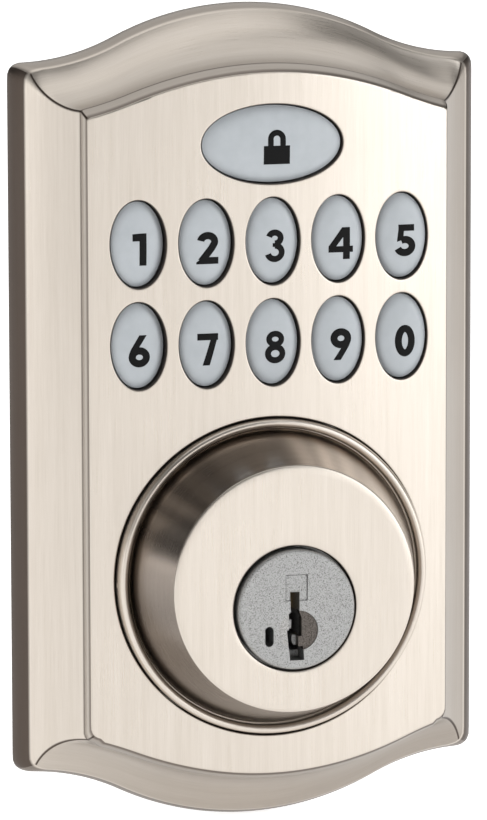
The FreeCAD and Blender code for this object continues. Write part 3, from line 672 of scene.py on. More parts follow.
def strokeQuads(points, width, closed=False):  # a pen line as joined four-sided pieces
    count = len(points)
    sides = []
    for i, p in enumerate(points):
        before = points[i - 1] if i or closed else p
        after = points[(i + 1) % count] if i < count - 1 or closed else p
        a = Vector(p) - Vector(before)
        b = Vector(after) - Vector(p)
        a = a.normalized() if a.length > 1e-9 else b.normalized()
        b = b.normalized() if b.length > 1e-9 else a
        run = (a + b).normalized()
        reach = width / 2 / max(run.dot(a), 0.4)
        normal = Vector((-run.y, run.x)) * reach
        sides.append((Vector(p) + normal, Vector(p) - normal))
    last = count if closed else count - 1
    return [[sides[i][0], sides[i][1], sides[(i + 1) % count][1], sides[(i + 1) % count][0]]
            for i in range(last)]


def figureShapes(name):  # strokes and shapes in a space one unit high, middle at 0, 0
    w = figures["stroke"] / figures["height"]
    h = w / 2
    shapes = []

    def line(points, closed=False, width=w):
        shapes.extend(strokeQuads(points, width, closed))

    def block(points):
        shapes.append([Vector(p) for p in points])

    if name == "1":
        block([(0.02, -0.5), (0.02 + w, -0.5), (0.02 + w, 0.5), (0.02, 0.5)])
        block([(-0.2, 0.26), (-0.2, 0.26 + w * 0.98), (0.05, 0.5), (0.1, 0.5), (0.1, 0.26)])
    if name == "2":
        line(arc(0, 0.2, 0.225, 0.3 - h, 172, -32) + [(0.13, 0.0), (-0.21, -0.42)])
        block([(-0.36, -0.5), (0.35, -0.5), (0.35, -0.5 + w * 0.95), (-0.36 + w, -0.5 + w * 0.95),
               (-0.36, -0.44)])
    if name == "3":
        line(arc(-0.01, 0.245, 0.19, 0.17, 165, -90), width=w * 0.85)
        line(arc(-0.01, -0.2, 0.225, 0.21, 90, -165), width=w * 0.85)
        block([(-0.08, -0.03), (0.02, -0.03), (0.02, 0.09), (-0.08, 0.09)])
    if name == "4":
        block([(0.07, -0.5), (0.07 + w, -0.5), (0.07 + w, 0.5), (0.07, 0.5)])
        block([(-0.4, -0.28), (0.4, -0.28), (0.4, -0.28 + w * 0.85), (-0.4, -0.28 + w * 0.85)])
        block([(-0.4, -0.28 + w * 0.85), (-0.15, -0.28 + w * 0.85), (0.12, 0.26), (0.12, 0.5), (0.04, 0.5)])
    if name == "5":
        block([(-0.22, 0.5 - w * 0.9), (0.3, 0.5 - w * 0.9), (0.3, 0.5), (-0.22, 0.5)])
        block([(-0.27, -0.04), (-0.06, 0.02), (-0.03, 0.5), (-0.2, 0.5)])
        line(arc(-0.01, -0.18, 0.24, 0.32 - h, 120, -160))
    if name in ("6", "9"):
        line(arc(0.0, -0.185, 0.36 - h - 0.02, 0.315 - h, 0, 360)[:-1], True)
        block([(-0.335, -0.11), (-0.1, -0.02), (0.24, 0.5), (0.0, 0.5), (-0.27, 0.06)])
        if name == "9":
            shapes[:] = [[-p for p in shape] for shape in shapes]
    if name == "7":
        block([(-0.34, 0.5 - w * 0.92), (0.33, 0.5 - w * 0.92), (0.33, 0.5), (-0.34, 0.5)])
        block([(-0.17, -0.5), (0.06, -0.5), (0.34, 0.47), (0.1, 0.36)])
    if name == "8":
        line(arc(0, 0.25, 0.2, 0.168, 0, 360)[:-1], True, w * 0.8)
        line(arc(0, -0.205, 0.235, 0.21, 0, 360)[:-1], True, w * 0.85)
    if name == "0":
        line(arc(0, 0, 0.33 - h, 0.5 - h, 0, 360, 40)[:-1], True)
    if name == "padlock":
        block([(-0.43, -0.52), (0.43, -0.52), (0.43, 0.07), (-0.43, 0.07)])
        shackle = [(-0.2, 0.04), (-0.2, 0.28)] + arc(0, 0.28, 0.2, 0.2, 180, 0) + [(0.2, 0.28), (0.2, 0.04)]
        line(shackle, width=0.183)
    return shapes


def makeFigure(key, name, ink, place, height, body):
    shapes = figureShapes(name)
    corners = []
    edges = []
    faces = []
    for shape in shapes:
        ring = []
        spots = [(place[0] + p[0] * height, place[1] + p[1] * height) for p in shape]
        for i, p in enumerate(spots):
            q = spots[(i + 1) % len(spots)]
            pieces = max(1, math.ceil(math.dist(p, q) / figures["step"]))
            for k in range(pieces):
                ring.append(len(corners))
                corners.append(Vector((p[0] + (q[0] - p[0]) * k / pieces, p[1] + (q[1] - p[1]) * k / pieces)))
        area = sum(corners[ring[i - 1]].cross(corners[r]) for i, r in enumerate(ring))
        faces.append(ring if area > 0 else ring[::-1])
    step = figures["step"]
    half = height * 0.62
    rings = [[corners[i] for i in face] for face in faces]

    def inked(x, z):
        return any(inPolygon(x, z, ring) for ring in rings)

    grid = gridSpots(step, place[0] - half, place[0] + half, place[1] - half, place[1] + half, inked)
    made = delaunay_2d_cdt(corners + grid, edges, faces, 1, 1e-5, False)
    shell = Shell()
    lift = figures["lift"]
    ids = [shell.point((p.x, keyFront(key, p.x, p.y) - lift, p.y), 1.0) for p in made[0]]
    spots = [(p.x, p.y) for p in made[0]]
    sides = {}
    for face in made[2]:
        around = list(face)
        middle = sum((made[0][c] for c in around), Vector((0, 0))) / len(around)
        if not inked(middle.x, middle.y):
            continue
        turn = sum(Vector(spots[around[i - 1]]).cross(Vector(spots[c])) for i, c in enumerate(around))
        if turn < 0:
            around.reverse()
        shell.face([ids[i] for i in around], [spots[i] for i in around])
        for i, c in enumerate(around):
            sides[(around[i - 1], c)] = True
    low = {}
    for a, b in list(sides):
        if (b, a) not in sides:
            for c in (a, b):
                if c not in low:
                    x, z = spots[c]
                    low[c] = shell.point((x, keyFront(key, x, z) + 0.02, z), 1.0)
            shell.face([ids[b], ids[a], low[a], low[b]], [spots[b], spots[a], spots[a], spots[b]])
    return shell.build("figure" + name.capitalize(), [ink], body, "key_cap")


def makeKeys(cap, ink):
    for key in keyPlaces():
        name, x, z, a, b = key
        makeKey(key, cap)
        if name == "lock_button":
            makeFigure(key, "padlock", ink, (x + 0.65, z - 0.6), 4.65, name + "_body")
        else:
            shift = figures["shiftX"] + figures["perColumn"] * (x / keypad["pitch"])
            makeFigure(key, name[-1], ink, (x + shift, z + figures["shiftZ"]), figures["height"],
                       name + "_body")


# round collar over the cylinder, and the plug's face

collarShape = {"rimY": -17.5, "lip": 1.4, "shoulder": 22.1, "shoulderY": -15.8, "top": 18.35,
               "discY": -27.9, "chamfer": 0.45, "wall": 2.0, "flangeY": -11.6, "backY": -10.0,
               "hole": 9.24, "paintedReflectionBands": 0.22}
plug = {"radius": 8.9, "faceY": -28.85, "fillet": 0.5, "blockGap": 0.09, "guard": (0.25, -3.1, 2.97),
        "block": (-1.62, 1.52, 1.43, 5.12), "slot": (-4.2, -3.8, 0.65, 0.85),
        "keyway": ((0.4, 2.65), (0.4, -0.3), (0.75, -1.2), (0.75, -3.95), (-0.35, -3.95),
                   (-0.35, -4.9), (-0.1, -5.45), (0.95, -5.45), (1.1, -7.5), (-1.05, -7.5),
                   (-1.5, -3.0), (-0.45, -3.0), (-0.4, -1.7), (-1.15, -1.7), (-0.95, -0.3),
                   (-1.0, 2.65))}


def cadFaces(node, keep):  # a CAD node's triangles that keep() wants, doubles merged
    shell = Shell()
    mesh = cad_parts[node].data
    for polygon in mesh.polygons:
        centre = polygon.center * 1000
        if keep(centre, polygon.normal):
            spots = [mesh.vertices[i].co * 1000 for i in polygon.vertices]
            ids = [shell.point((p.x, p.y, p.z), 1.0) for p in spots]
            shell.face(ids, [(p.x, p.z) for p in spots])
    return shell


def makeCollar(metal, cone):
    c = collarShape
    z = collar["z"]

    def keep(centre, normal):
        far = math.hypot(centre.x, centre.z - z)
        return far > collar["radius"] + 0.005 or (abs(normal.y) > 0.9 and centre.y > c["flangeY"] - 0.05)

    shell = cadFaces("cylinder_collar", keep)
    lipIn = collar["radius"] - c["lip"]
    rear = collar["radius"] - 1.2 * c["wall"]
    r = collar["radius"]
    rim = rounded([(r, c["flangeY"]), (r, c["rimY"] + 0.8), (r - 0.22, c["rimY"] + 0.2), (r - 0.6, c["rimY"]),
                   (lipIn + 0.35, c["rimY"] + 0.1), (lipIn, c["rimY"] + 0.6), (lipIn, c["shoulderY"] - 0.1),
                   (lipIn, c["shoulderY"]), (c["shoulder"], c["shoulderY"])], 0.5, 5)
    low = (c["shoulder"], c["shoulderY"])
    high = (c["top"], c["discY"] + c["chamfer"])
    shares = [0.0, 0.01, 0.03] + [0.06 + 0.9 * i / 16 for i in range(17)] + [0.985, 1.0]
    coneRows = [(low[0] + (high[0] - low[0]) * t, low[1] + (high[1] - low[1]) * t) for t in shares]

    def conePaintedLight(i, j):  # painted reflection bands round the cone, painted shade darkest low on one side and at its foot
        turn = 2 * math.pi * j / 192
        base = 0.66 + 0.2 * math.sin(turn + 0.5) + 0.04 * math.cos(turn)
        paintedReflectionBands = c["paintedReflectionBands"] * math.sin(21 * turn + 3 * math.sin(5 * turn)) * max(math.sin(turn - 0.5), 0.0)
        return min(max(base + paintedReflectionBands, 0.08), 1.0) * (0.25 if i < 2 else 1.0)

    disc = rounded([high, (c["top"] - 0.06, c["discY"] + 0.1), (c["top"] - 0.45, c["discY"])], 0.25, 5)
    lathe(shell, rim, 0, z, 192, lambda i, j: 1.0, flip=False)
    lathe(shell, coneRows, 0, z, 192, conePaintedLight, flip=False, part=1)
    # the disc's chamfer rows are given a painted shade line
    lathe(shell, disc, 0, z, 192, lambda i, j: 0.35 if i < 3 else 1.0, flip=False)
    rows = []
    outer = ellipse(0, z, c["top"] - 0.45, c["top"] - 0.45, 0, 192)
    inner = ellipse(0, 0, c["hole"] + 0.35, c["hole"] + 0.35, 0, 192)
    for i in range(13):
        t = i / 12
        rows.append([(a[0] * (1 - t) + b[0] * t, c["discY"], a[1] * (1 - t) + b[1] * t)
                     for a, b in zip(outer, inner)])
    shell.grid(rows, None, lambda i, j: 1.0, closed=True)
    wallY = c["discY"] + c["wall"]
    hole = rounded([(c["hole"] + 0.35, c["discY"]), (c["hole"] + 0.06, c["discY"] + 0.08),
                    (c["hole"], c["discY"] + 0.4), (c["hole"], wallY)], 0.25, 4)
    # painted shade in the plug hole: its rounded edge a little darker, its wall dark
    lathe(shell, hole, 0, 0, 192, lambda i, j: 0.8 if i < 2 else 0.1, flip=False)
    # painted shade on the disc's back and inside the cup
    back = [(a[0], wallY, a[1]) for a in ellipse(0, 0, c["hole"], c["hole"], 0, 192)]
    inside = [(a[0], wallY, a[1]) for a in ellipse(0, z, c["top"] - c["wall"], c["top"] - c["wall"], 0, 192)]
    shell.grid([back, inside], None, lambda i, j: 0.6, closed=True)
    cup = [(c["top"] - c["wall"], wallY), (c["shoulder"] - c["wall"], c["shoulderY"]),
           (rear, c["shoulderY"] + 1.5), (rear, c["backY"])]
    lathe(shell, cup, 0, z, 192, lambda i, j: 0.6, flip=False)
    return shell.build("collarCup", [metal, cone], "lock_case", "satin_nickel", ["cylinder_collar"])


def inPolygon(x, z, points):
    inside = False
    for (x1, z1), (x2, z2) in zip(points, points[1:] + points[:1]):
        if (z1 > z) != (z2 > z) and x < x1 + (z - z1) * (x2 - x1) / (z2 - z1):
            inside = not inside
    return inside


def makePlugFace(metal):
    face = plug["faceY"]
    flat = plug["radius"] - plug["fillet"]

    def keep(centre, normal):
        front = centre.y < face + 0.02 and normal.y < -0.9
        turned = centre.y < face + plug["fillet"] - 0.005 and math.hypot(centre.x, centre.z) > flat - 0.02
        return not front and not turned

    shell = cadFaces("key_plug", keep)
    gx, gz, guard = plug["guard"]
    x0, x1, z0, z1 = plug["block"]
    sx, sz, slotHalf, slotRise = plug["slot"]
    slot = arc(sx, sz + slotRise, slotHalf, slotHalf, 0, 180, 14)
    slot += arc(sx, sz - slotRise, slotHalf, slotHalf, 180, 360, 14)
    keyway = list(plug["keyway"])
    gap = plug["blockGap"]
    block = [(x0 - gap, z0 - gap), (x1 + gap, z0 - gap), (x1 + gap, z1 + gap), (x0 - gap, z1 + gap)]
    loops = [ellipse(0, 0, flat, flat, 0, 192), ellipse(gx, gz, guard, guard, 0, 72), block, keyway, slot]

    def hidden(x, z):
        return (math.hypot(x - gx, z - gz) < guard or inPolygon(x, z, block)
                or inPolygon(x, z, keyway) or inPolygon(x, z, slot))

    spots = gridSpots(0.8, -flat, flat, -flat, flat, lambda x, z: math.hypot(x, z) < flat - 0.3)
    shell.flat(loops, spots, lambda x, z: face, hidden)
    fillet = plug["fillet"]
    turns = [math.pi / 2 * i / 8 for i in range(9)]
    profile = [(flat + fillet * math.sin(t), face + fillet - fillet * math.cos(t)) for t in turns]
    # the fillet's painted light levels fall towards the rim as painted shade, but the plug's finish does not
    # read them
    lathe(shell, profile, 0, 0, 192, lambda i, j: 1.0 - 0.5 * i / 8, flip=True)
    return shell.build("plugWithFace", [metal], "plug_body", "plug_nickel", ["key_plug"], smooth=False)


# pieces that follow a route or repeat, made by geometry nodes

class Recipe:  # a geometry node tree with named sizes
    def __init__(self, name, sizes):
        self.tree = bpy.data.node_groups.new(name, "GeometryNodeTree")
        self.sizes = sizes
        sockets = self.tree.interface
        sockets.new_socket(name="Geometry", in_out="INPUT", socket_type="NodeSocketGeometry")
        for key, value in sizes.items():
            kind = "NodeSocketInt" if isinstance(value, int) else "NodeSocketFloat"
            sockets.new_socket(name=key, in_out="INPUT", socket_type=kind)
        sockets.new_socket(name="Geometry", in_out="OUTPUT", socket_type="NodeSocketGeometry")
        self.start = self.tree.nodes.new("NodeGroupInput")

    def size(self, name):
        return self.start.outputs[name]

    def node(self, kind, values=None, output=0, **settings):
        made = self.tree.nodes.new(kind)
        for key, value in settings.items():
            setattr(made, key, value)
        for key, value in (values or {}).items():
            if isinstance(value, bpy.types.NodeSocket):
                self.tree.links.new(value, made.inputs[key])
            else:
                made.inputs[key].default_value = value
        return made.outputs[output]

    def make(self, source, shape, material, name, body, replaced=()):
        real = self.node("GeometryNodeRealizeInstances", {"Geometry": shape})
        dressed = self.node("GeometryNodeSetMaterial", {"Geometry": real, "Material": material})
        end = self.tree.nodes.new("NodeGroupOutput")
        self.tree.links.new(dressed, end.inputs["Geometry"])
        holder = bpy.data.objects.new(name + "Source", source)
        bpy.context.scene.collection.objects.link(holder)
        modifier = holder.modifiers.new("recipe", "NODES")
        modifier.node_group = self.tree
        for item in self.tree.interface.items_tree:
            if item.in_out == "INPUT" and item.name in self.sizes:
                modifier[item.identifier] = self.sizes[item.name]
        view = bpy.context.evaluated_depsgraph_get()
        mesh = bpy.data.meshes.new_from_object(holder.evaluated_get(view))
        holder.modifiers.clear()
        bpy.data.objects.remove(holder)
        form = bmesh.new()
        form.from_mesh(mesh)
        bmesh.ops.remove_doubles(form, verts=form.verts, dist=1e-6)
        bmesh.ops.recalc_face_normals(form, faces=form.faces)
        form.to_mesh(mesh)
        form.free()
        mesh.polygons.foreach_set("use_smooth", [True] * len(mesh.polygons))
        return placePiece(name, mesh, body, replaced)


doorSeal = {"width": 2.5, "thick": 1.5, "corner": 0.4, "spacing": 0.7, "pores": 0.12, "inset": 1.5,
            "middleY": -0.8}


def makeDoorSeal(material):  # foam strip that follows the rear edge
    d = doorSeal
    back = -case["lipDepth"]
    wide = innerHalfWidth(back) - d["inset"]
    places = [i / 40 for i in range(41)]
    tall = innerHalfHeight(wide, back) - d["inset"]
    route = [(v * wide, innerHalfHeight(v * wide, back) - d["inset"]) for v in places]
    route += [(wide, tall * (1 - 2 * v)) for v in places[1:]]
    route += [(x, d["inset"] - innerHalfHeight(x, back)) for x in [wide * (1 - 2 * v) for v in places[1:]]]
    route += [(-wide, tall * (2 * v - 1)) for v in places[1:]]
    route += [(-v * wide, innerHalfHeight(v * wide, back) - d["inset"]) for v in places[-2:0:-1]]
    source = bpy.data.meshes.new("doorSealRoute")
    points = [(x * mm, d["middleY"] * mm, (case["middle"] + z) * mm) for x, z in route]
    source.from_pydata(points, [(i, (i + 1) % len(points)) for i in range(len(points))], [])
    recipe = Recipe("sealAlongRoute", {"width": d["width"] * mm, "thick": d["thick"] * mm,
                                       "corner": d["corner"] * mm, "spacing": d["spacing"] * mm,
                                       "pores": d["pores"] * mm, "seed": 7})
    curve = recipe.node("GeometryNodeMeshToCurve", {"Mesh": recipe.start.outputs["Geometry"]})
    even = recipe.node("GeometryNodeResampleCurve", {"Curve": curve, "Length": recipe.size("spacing")},
                       mode="LENGTH")
    section = recipe.node("GeometryNodeCurvePrimitiveQuadrilateral",
                          {"Width": recipe.size("thick"), "Height": recipe.size("width")})
    soft = recipe.node("GeometryNodeFilletCurve",
                       {"Curve": section, "Radius": recipe.size("corner"), "Count": 3}, mode="POLY")
    fine = recipe.node("GeometryNodeResampleCurve", {"Curve": soft, "Count": 28})
    swept = recipe.node("GeometryNodeCurveToMesh", {"Curve": even, "Profile Curve": fine})
    noise = recipe.node("ShaderNodeTexNoise", {"W": recipe.size("seed"), "Scale": 1400.0, "Detail": 2.0},
                        noise_dimensions="4D")
    depth = recipe.node("ShaderNodeMath", {0: noise, 1: recipe.size("pores")}, operation="MULTIPLY")
    sunk = recipe.node("ShaderNodeMath", {0: depth, 1: -1.0}, operation="MULTIPLY")
    normal = recipe.node("GeometryNodeInputNormal")
    move = recipe.node("ShaderNodeVectorMath", {0: normal, "Scale": sunk}, operation="SCALE")
    pored = recipe.node("GeometryNodeSetPosition", {"Geometry": swept, "Offset": move})
    recipe.make(source, pored, material, "doorSealFoam", "lock_case", ["door_seal"])


ringRibs = {"count": 22, "radius": 0.45, "sink": 0.2, "wall": 26.75, "flange": 1.4, "margin": 0.6,
            "reliefHalf": 7.2}


def makeRingRibs(material):  # crush ribs spaced round the bore ring's wall, clear of its relief
    d = ringRibs
    low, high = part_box("bore_ring")
    start = low[1] + d["flange"] * mm
    end = high[1] - d["margin"] * mm
    gap = math.asin((d["reliefHalf"] + 2 * d["radius"]) / d["wall"])
    source = bpy.data.meshes.new("ringRibsRoute")
    source.from_pydata([(0, 0, 0)], [], [])
    recipe = Recipe("ribsRoundRing", {"count": d["count"], "ringRadius": (d["wall"] - d["sink"]) * mm,
                                      "ribRadius": d["radius"] * mm, "length": end - start,
                                      "startAngle": math.pi / 2 + gap, "sweep": 2 * math.pi - 2 * gap})
    route = recipe.node("GeometryNodeCurveArc", {"Resolution": 90, "Radius": recipe.size("ringRadius"),
                                                 "Start Angle": recipe.size("startAngle"),
                                                 "Sweep Angle": recipe.size("sweep")}, mode="RADIUS")
    spots = recipe.node("GeometryNodeCurveToPoints", {"Curve": route, "Count": recipe.size("count")},
                        mode="COUNT")
    rib = recipe.node("GeometryNodeMeshCylinder", {"Vertices": 12, "Radius": recipe.size("ribRadius"),
                                                   "Depth": recipe.size("length")})
    placed = recipe.node("GeometryNodeInstanceOnPoints", {"Points": spots, "Instance": rib})
    middle = (0.0, (start + end) / 2, 0.0)
    turned = recipe.node("GeometryNodeTransform", {"Geometry": placed, "Translation": middle,
                                                   "Rotation": (math.pi / 2, 0.0, 0.0)})
    recipe.make(source, turned, material, "ringRibs", "lock_case")


# finishes

# the brown colours both the small specks in the metal and the painted shade
nickelLook = {"bright": "cfc7be", "plain": "bdb4a9", "speckAndShadeBrown": "33261f", "rough": 0.31}


def nickelParts(spot, bright, plain, speckAndShadeBrown, rough, streaks=1.0):
    grain = spot.node("ShaderNodeUVMap", uv_map="grain")
    fine = grain.scaled(11, 0.14, 0).noise(1.0, 5, 0.65)
    broad = grain.scaled(1.1, 0.03, 0).noise(1.0, 2, 0.5)
    # painted shade and painted reflection: the mesh's painted light level mixes the colour towards the brown
    paintedLight = spot.node("ShaderNodeAttribute", attribute_name="paintedLight", output=2)
    worn = spot.scaled(0.07, 0.07, 0.05).noise(1.0, 3, 0.5)
    streak = ((fine - 0.5) * 1.5 * streaks + (broad - 0.5) * 0.8 + 0.5).clip()
    metal = blend(streak, hexColour(plain), hexColour(bright))
    specks = grain.scaled(2.2, 0.5, 0).cells(1.0).step(0.0, 0.045)
    metal = blend(specks * 0.9 + 0.1, blend(metal, hexColour(plain), hexColour(speckAndShadeBrown)), metal)
    colour = blend(paintedLight, hexColour(speckAndShadeBrown), metal)
    roughness = (fine - 0.5) * 0.22 * streaks + (worn - 0.5) * 0.14 + rough + (1.0 - paintedLight) * 0.12
    return {"Base Color": colour, "Roughness": roughness.clip(), "height": (fine, 0.006 * streaks)}


def satinNickel(spot):
    look = nickelLook
    return nickelParts(spot, look["bright"], look["plain"], look["speckAndShadeBrown"], look["rough"])


def coneNickel(spot):
    # the darkest colour serves the specks and the cone's painted shade
    return nickelParts(spot, "b5aaa0", "988d83", "2a211c", 0.2, 0.4)


def plugNickel(spot):
    grit = spot.noise(7.5, 4, 0.7)
    # bright dots at the cells' middles are painted glints; the cells also raise bumps
    glintAndBumpCells = spot.cells(9.0)
    # darker in the grit's low spots: painted shade in the pits
    pitShade = grit.step(0.36, 0.5)
    bright = blend(glintAndBumpCells.step(0.08, 0.2), hexColour("e6e6e6"), hexColour("a9a9a8"))
    colour = blend(pitShade, hexColour("565452"), bright)
    return {"Base Color": colour, "Roughness": (grit * 0.5 + 0.28).clip(),
            "height": (grit + glintAndBumpCells * 0.4, 0.05)}


def guardSteel(spot):
    grit = spot.noise(6.0, 4, 0.7)
    # one side painted darker: the left half in painted light, the right half in painted shade
    side = spot.part(0).step(-0.1, 0.15)
    colour = blend(side, blend(grit.step(0.35, 0.6), hexColour("777573"), hexColour("b2b1af")),
                   blend(grit.step(0.35, 0.6), hexColour("3c3835"), hexColour("6a645f")))
    return {"Base Color": colour, "Roughness": (grit * 0.4 + 0.3).clip(), "height": (grit, 0.03)}


def keyPlastic(spot):
    mottle = spot.noise(0.5, 3, 0.5)
    grain = spot.noise(9.0, 3, 0.6)
    colour = blend(mottle, hexColour("a4a9ad"), hexColour("b3b8bc"))
    return {"Base Color": colour, "Roughness": ((grain - 0.5) * 0.16 + 0.4 + (mottle - 0.5) * 0.1).clip(),
            "height": (grain, 0.004)}


def printedInk(spot):
    grain = spot.noise(14.0, 3, 0.6)
    return {"Base Color": blend(grain, hexColour("050505"), hexColour("0e0e0f")),
            "Roughness": ((grain - 0.5) * 0.2 + 0.5).clip(), "height": (grain, 0.004)}


def grained(low, high, scale, rough, depth, stretch=(1, 1, 1), spread=0.25):  # cast or moulded
    def varying(spot):
        grain = spot.scaled(*stretch).noise(scale, 4, 0.62)
        mottle = spot.noise(0.21, 3, 0.5)
        worn = (grain * 0.6 + mottle * 0.4).step(0.32, 0.68)
        colour = blend(worn, hexColour(low), hexColour(high))
        roughness = (grain - 0.5) * spread + (mottle - 0.5) * 0.15 + rough
        return {"Base Color": colour, "Roughness": roughness.clip(), "height": (grain, depth)}
    return varying


def foam(low, high):
    def varying(spot):
        cells = spot.cells(2.4)
        small = spot.cells(6.0)
        pores = (cells * 0.6 + small * 0.5).clip()
        return {"Base Color": blend(pores, hexColour(high), hexColour(low)),
                "Roughness": (pores * 0.1 + 0.85).clip(), "height": (pores, 0.12)}
    return varying


def solderMask(spot):
    lane = spot.node("ShaderNodeTexVoronoi", {"Vector": spot.scaled(0.55, 0, 0.55), "Scale": 1.0},
                     distance="MANHATTAN", feature="F1")
    rings = (lane * 9.0).math("FRACT")
    track = rings.step(0.35, 0.42) * (1.0 - rings.step(0.6, 0.67))
    weave = spot.noise(3.0, 3, 0.6)
    colour = blend(track, hexColour("0f3a22"), hexColour("1d6a3b"))
    return {"Base Color": colour, "Roughness": ((weave - 0.5) * 0.2 + 0.34).clip(),
            "height": (track + weave * 0.2, 0.035)}


def ceramic(spot):
    ends = spot.scaled(0.62, 0, 0).part(0).math("PINGPONG", 0.5).step(0.34, 0.38)
    grain = spot.noise(5.0, 3, 0.6)
    body = blend(grain, hexColour("6d4a33"), hexColour("8d6a4c"))
    return {"Base Color": blend(ends, body, hexColour("b9b9bb")), "Roughness": (grain * 0.3 + 0.3).clip(),
            "Metallic": ends, "height": (grain, 0.01)}


def makeFinishes():
    metal = {"Metallic": 1.0}
    plastic = {"Metallic": 0.0, "Specular IOR Level": 0.5}
    soft = {"Metallic": 0.0, "Sheen Weight": 0.15, "Sheen Roughness": 0.5}
    recipes = {
        "satinNickel": (metal, satinNickel),
        "coneNickel": (metal, coneNickel),
        "plugNickel": (metal, plugNickel),
        "guardSteel": (metal, guardSteel),
        "keyPlastic": ({"Subsurface Weight": 0.12, "Coat Roughness": 0.3,
                       "Subsurface Radius": (0.0008, 0.0008, 0.0009),
                       "Coat Weight": 0.15}, keyPlastic),
        "printedInk": ({"Metallic": 0.0, "Specular IOR Level": 0.12}, printedInk),
        "silicone": ({"Subsurface Weight": 0.1, "Subsurface Radius": (0.001, 0.001, 0.001)},
                           grained("74787b", "8a8e90", 2.5, 0.5, 0.02)),
        "clearAcrylic": ({"Transmission Weight": 0.75, "IOR": 1.49},
                       grained("d4dde0", "e8eef0", 1.5, 0.24, 0.01)),
        "solderMask": (plastic, solderMask),
        "switchSteel": (metal, grained("9b9fa2", "c6c9cb", 6.0, 0.24, 0.008, (1, 1, 4))),
        "ledWhite": ({"Subsurface Weight": 0.2, "Subsurface Radius": (0.0005, 0.0005, 0.0004)},
                           grained("e3dfc4", "f1eedd", 4.0, 0.35, 0.01)),
        "chipBlack": (plastic, grained("141416", "24252a", 7.0, 0.55, 0.02)),
        "ceramic": ({"Specular IOR Level": 0.5}, ceramic),
        "blackPlastic": (plastic, grained("17181a", "2b2c2f", 3.2, 0.5, 0.05)),
        "socketPlastic": (plastic, grained("cfc8b6", "e2dccb", 3.0, 0.42, 0.02)),
        "foamBlack": (soft, foam("0e0e0f", "2b2b2d")),
        "rubberGrey": (soft, grained("1d1e20", "36373a", 4.0, 0.62, 0.04)),
        "zincCast": (metal, grained("7d7d7c", "a7a6a3", 1.7, 0.42, 0.06)),
        "hardSteel": (metal, grained("5d5a57", "87837f", 4.5, 0.36, 0.02)),
        "screwSteel": (metal, grained("8d8f92", "c2c3c5", 5.0, 0.28, 0.012)),
        "tumblerBrass": (metal, grained("a3854a", "cdb070", 4.0, 0.27, 0.012, (1, 1, 0.3))),
        "springSteel": (metal, grained("77797b", "b0b2b4", 8.0, 0.25, 0.006)),
        "bladeZinc": (metal, grained("8f918f", "c4c5c1", 2.2, 0.36, 0.02, (1, 0.12, 1))),
        "ringPlastic": (plastic, grained("4b4d50", "66696c", 3.0, 0.48, 0.04)),
    }
    made = {name: finish(name, *parts) for name, parts in recipes.items()}
    print("finishes", len(made))
    return made


nodeFinishes = {
    "guard_disc": "guardSteel", "guard_block": "plugNickel", "keypad_membrane": "silicone",
    "light_guide": "clearAcrylic", "circuit_board": "solderMask", "dome_switches": "switchSteel",
    "backlight_leds": "ledWhite", "controller_chip": "chipBlack", "board_components": "ceramic",
    "sounder": "blackPlastic", "cable_socket": "socketPlastic", "board_screws": "screwSteel",
    "rear_cover": "blackPlastic", "cover_screws": "screwSteel", "door_seal": "foamBlack",
    "cable_gland": "rubberGrey", "collar_seal": "rubberGrey", "cylinder_body": "zincCast",
    "collar_screws": "screwSteel", "sidebar": "hardSteel", "sidebar_springs": "springSteel",
    "plug_clip": "springSteel", "driver_cam": "zincCast", "cam_cap": "screwSteel",
    "cam_screws": "screwSteel", "torque_blade": "bladeZinc", "bore_ring": "ringPlastic",
}
for i in range(1, 6):
    nodeFinishes["tumbler_pin_%d" % i] = "tumblerBrass"
    nodeFinishes["tumbler_rack_%d" % i] = "tumblerBrass"
    nodeFinishes["tumbler_spring_%d" % i] = "springSteel"


def dressNodes(finishes):
    for node, name in nodeFinishes.items():
        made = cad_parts[node]
        for slot in made.material_slots:
            slot.material = finishes[name]
        if not made.material_slots:
            made.data.materials.append(finishes[name])


# floor, light and camera

studio = {"floorHeight": -0.0361, "floorSize": 30.0, "wallHeight": 4.0, "world": 0.18}


aim = (0.0, 0.0, 0.025)
white = (1, 1, 1)
softboxes = [  # name, place, target, width, height, watts, colour
    ("keySoftbox", (0.85, -0.95, 0.35), aim, 0.9, 1.3, 8.6, (0.96, 0.98, 1.0)),
    ("topSoftbox", (-0.05, -0.25, 1.1), aim, 1.2, 0.7, 2.8, white),
    ("leftFill", (-1.15, -0.35, 0.3), aim, 0.6, 1.0, 1.4, white),
    ("floorPanel", (0.4, 2.3, 2.2), (0.4, 2.3, 0.0), 4.0, 4.2, 42.0, white),
]
viewpoint = {"place": (-0.2293, -0.8055, 0.14855), "yaw": 15.9, "pitch": 8.36, "roll": -0.13,
             "lens": 247.1, "sensor": 36}


def makeFloor():
    half = studio["floorSize"]
    mesh = bpy.data.meshes.new("floor")
    z = studio["floorHeight"]
    corners = [(-half, -half), (half, -half), (half, half), (-half, half)]
    points = [(x, y, z) for x, y in corners] + [(x, y, z + studio["wallHeight"]) for x, y in corners]
    walls = [((i + 1) % 4, i, i + 4, (i + 1) % 4 + 4) for i in range(4)]  # low far walls hide the horizon
    mesh.from_pydata(points, [], [(0, 1, 2, 3)] + walls)
    floor = bpy.data.objects.new("floor", mesh)
    bpy.context.scene.collection.objects.link(floor)
    mesh.materials.append(finish("floorPaper", {"Metallic": 0.0, "Specular IOR Level": 0.1,
                                                "Emission Color": (1, 1, 1, 1), "Emission Strength": 0.8},
                                 grained("f4f3f1", "fbfaf9", 0.4, 0.85, 0.01)))


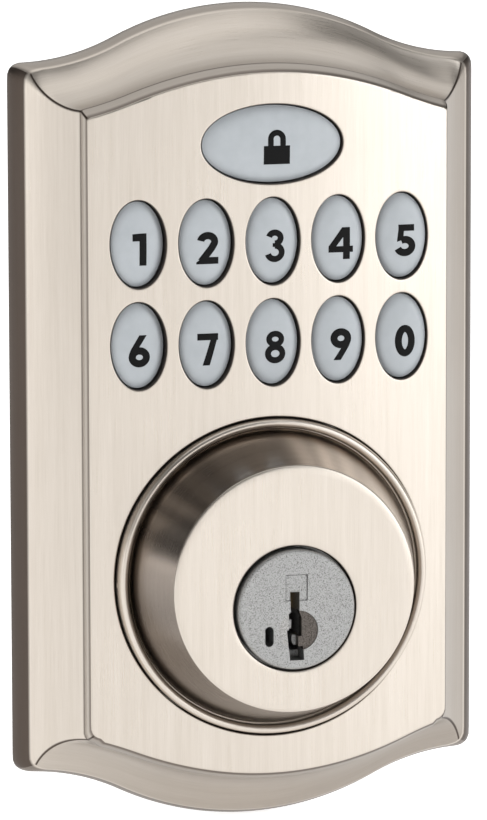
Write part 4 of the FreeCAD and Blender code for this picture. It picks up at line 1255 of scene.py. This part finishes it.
def makeLight(name, place, target, wide, tall, power, colour):
    light = bpy.data.lights.new(name, "AREA")
    light.shape = "RECTANGLE"
    light.size = wide
    light.size_y = tall
    light.energy = power
    light.color = colour
    made = bpy.data.objects.new(name, light)
    made.location = place
    made.rotation_euler = (Vector(target) - Vector(place)).to_track_quat("-Z", "Y").to_euler()
    bpy.context.scene.collection.objects.link(made)


def makeStudio():
    makeFloor()
    world = bpy.data.worlds.new("studio")
    world.use_nodes = True
    bpy.context.scene.world = world
    background = world.node_tree.nodes["Background"]
    background.inputs["Color"].default_value = (1.0, 0.99, 0.975, 1)
    background.inputs["Strength"].default_value = studio["world"]
    for name, place, target, wide, tall, power, colour in softboxes:
        makeLight(name, place, target, wide, tall, power, colour)


def makeCamera():
    yaw, pitch, roll = [math.radians(viewpoint[key]) for key in ("yaw", "pitch", "roll")]
    ahead = Vector((math.sin(yaw) * math.cos(pitch), math.cos(yaw) * math.cos(pitch), -math.sin(pitch)))
    right = Vector((math.cos(yaw), -math.sin(yaw), 0))
    up = right.cross(ahead)
    turnedRight = math.cos(roll) * right + math.sin(roll) * up
    turnedUp = -math.sin(roll) * right + math.cos(roll) * up
    camera = bpy.data.cameras.new("camera")
    camera.sensor_fit = "VERTICAL"
    camera.sensor_height = viewpoint["sensor"]
    camera.lens = viewpoint["lens"]
    camera.clip_start = 0.01
    camera.clip_end = 20
    made = bpy.data.objects.new("camera", camera)
    turn = Matrix((turnedRight, turnedUp, -ahead)).transposed()
    made.matrix_world = Matrix.Translation(viewpoint["place"]) @ turn.to_4x4()
    bpy.context.scene.collection.objects.link(made)
    bpy.context.scene.camera = made


bpy.context.scene.view_settings.view_transform = "Standard"  # plain product-shot colour
finishes = makeFinishes()
dressNodes(finishes)
makeCase(finishes["satinNickel"])
print("case made")
makeKeys(finishes["keyPlastic"], finishes["printedInk"])
print("keys made")
makeCollar(finishes["satinNickel"], finishes["coneNickel"])
makePlugFace(finishes["plugNickel"])
print("collar and plug made")
makeDoorSeal(finishes["foamBlack"])
makeRingRibs(finishes["ringPlastic"])
print("seal and ribs made")
makeStudio()
makeCamera()
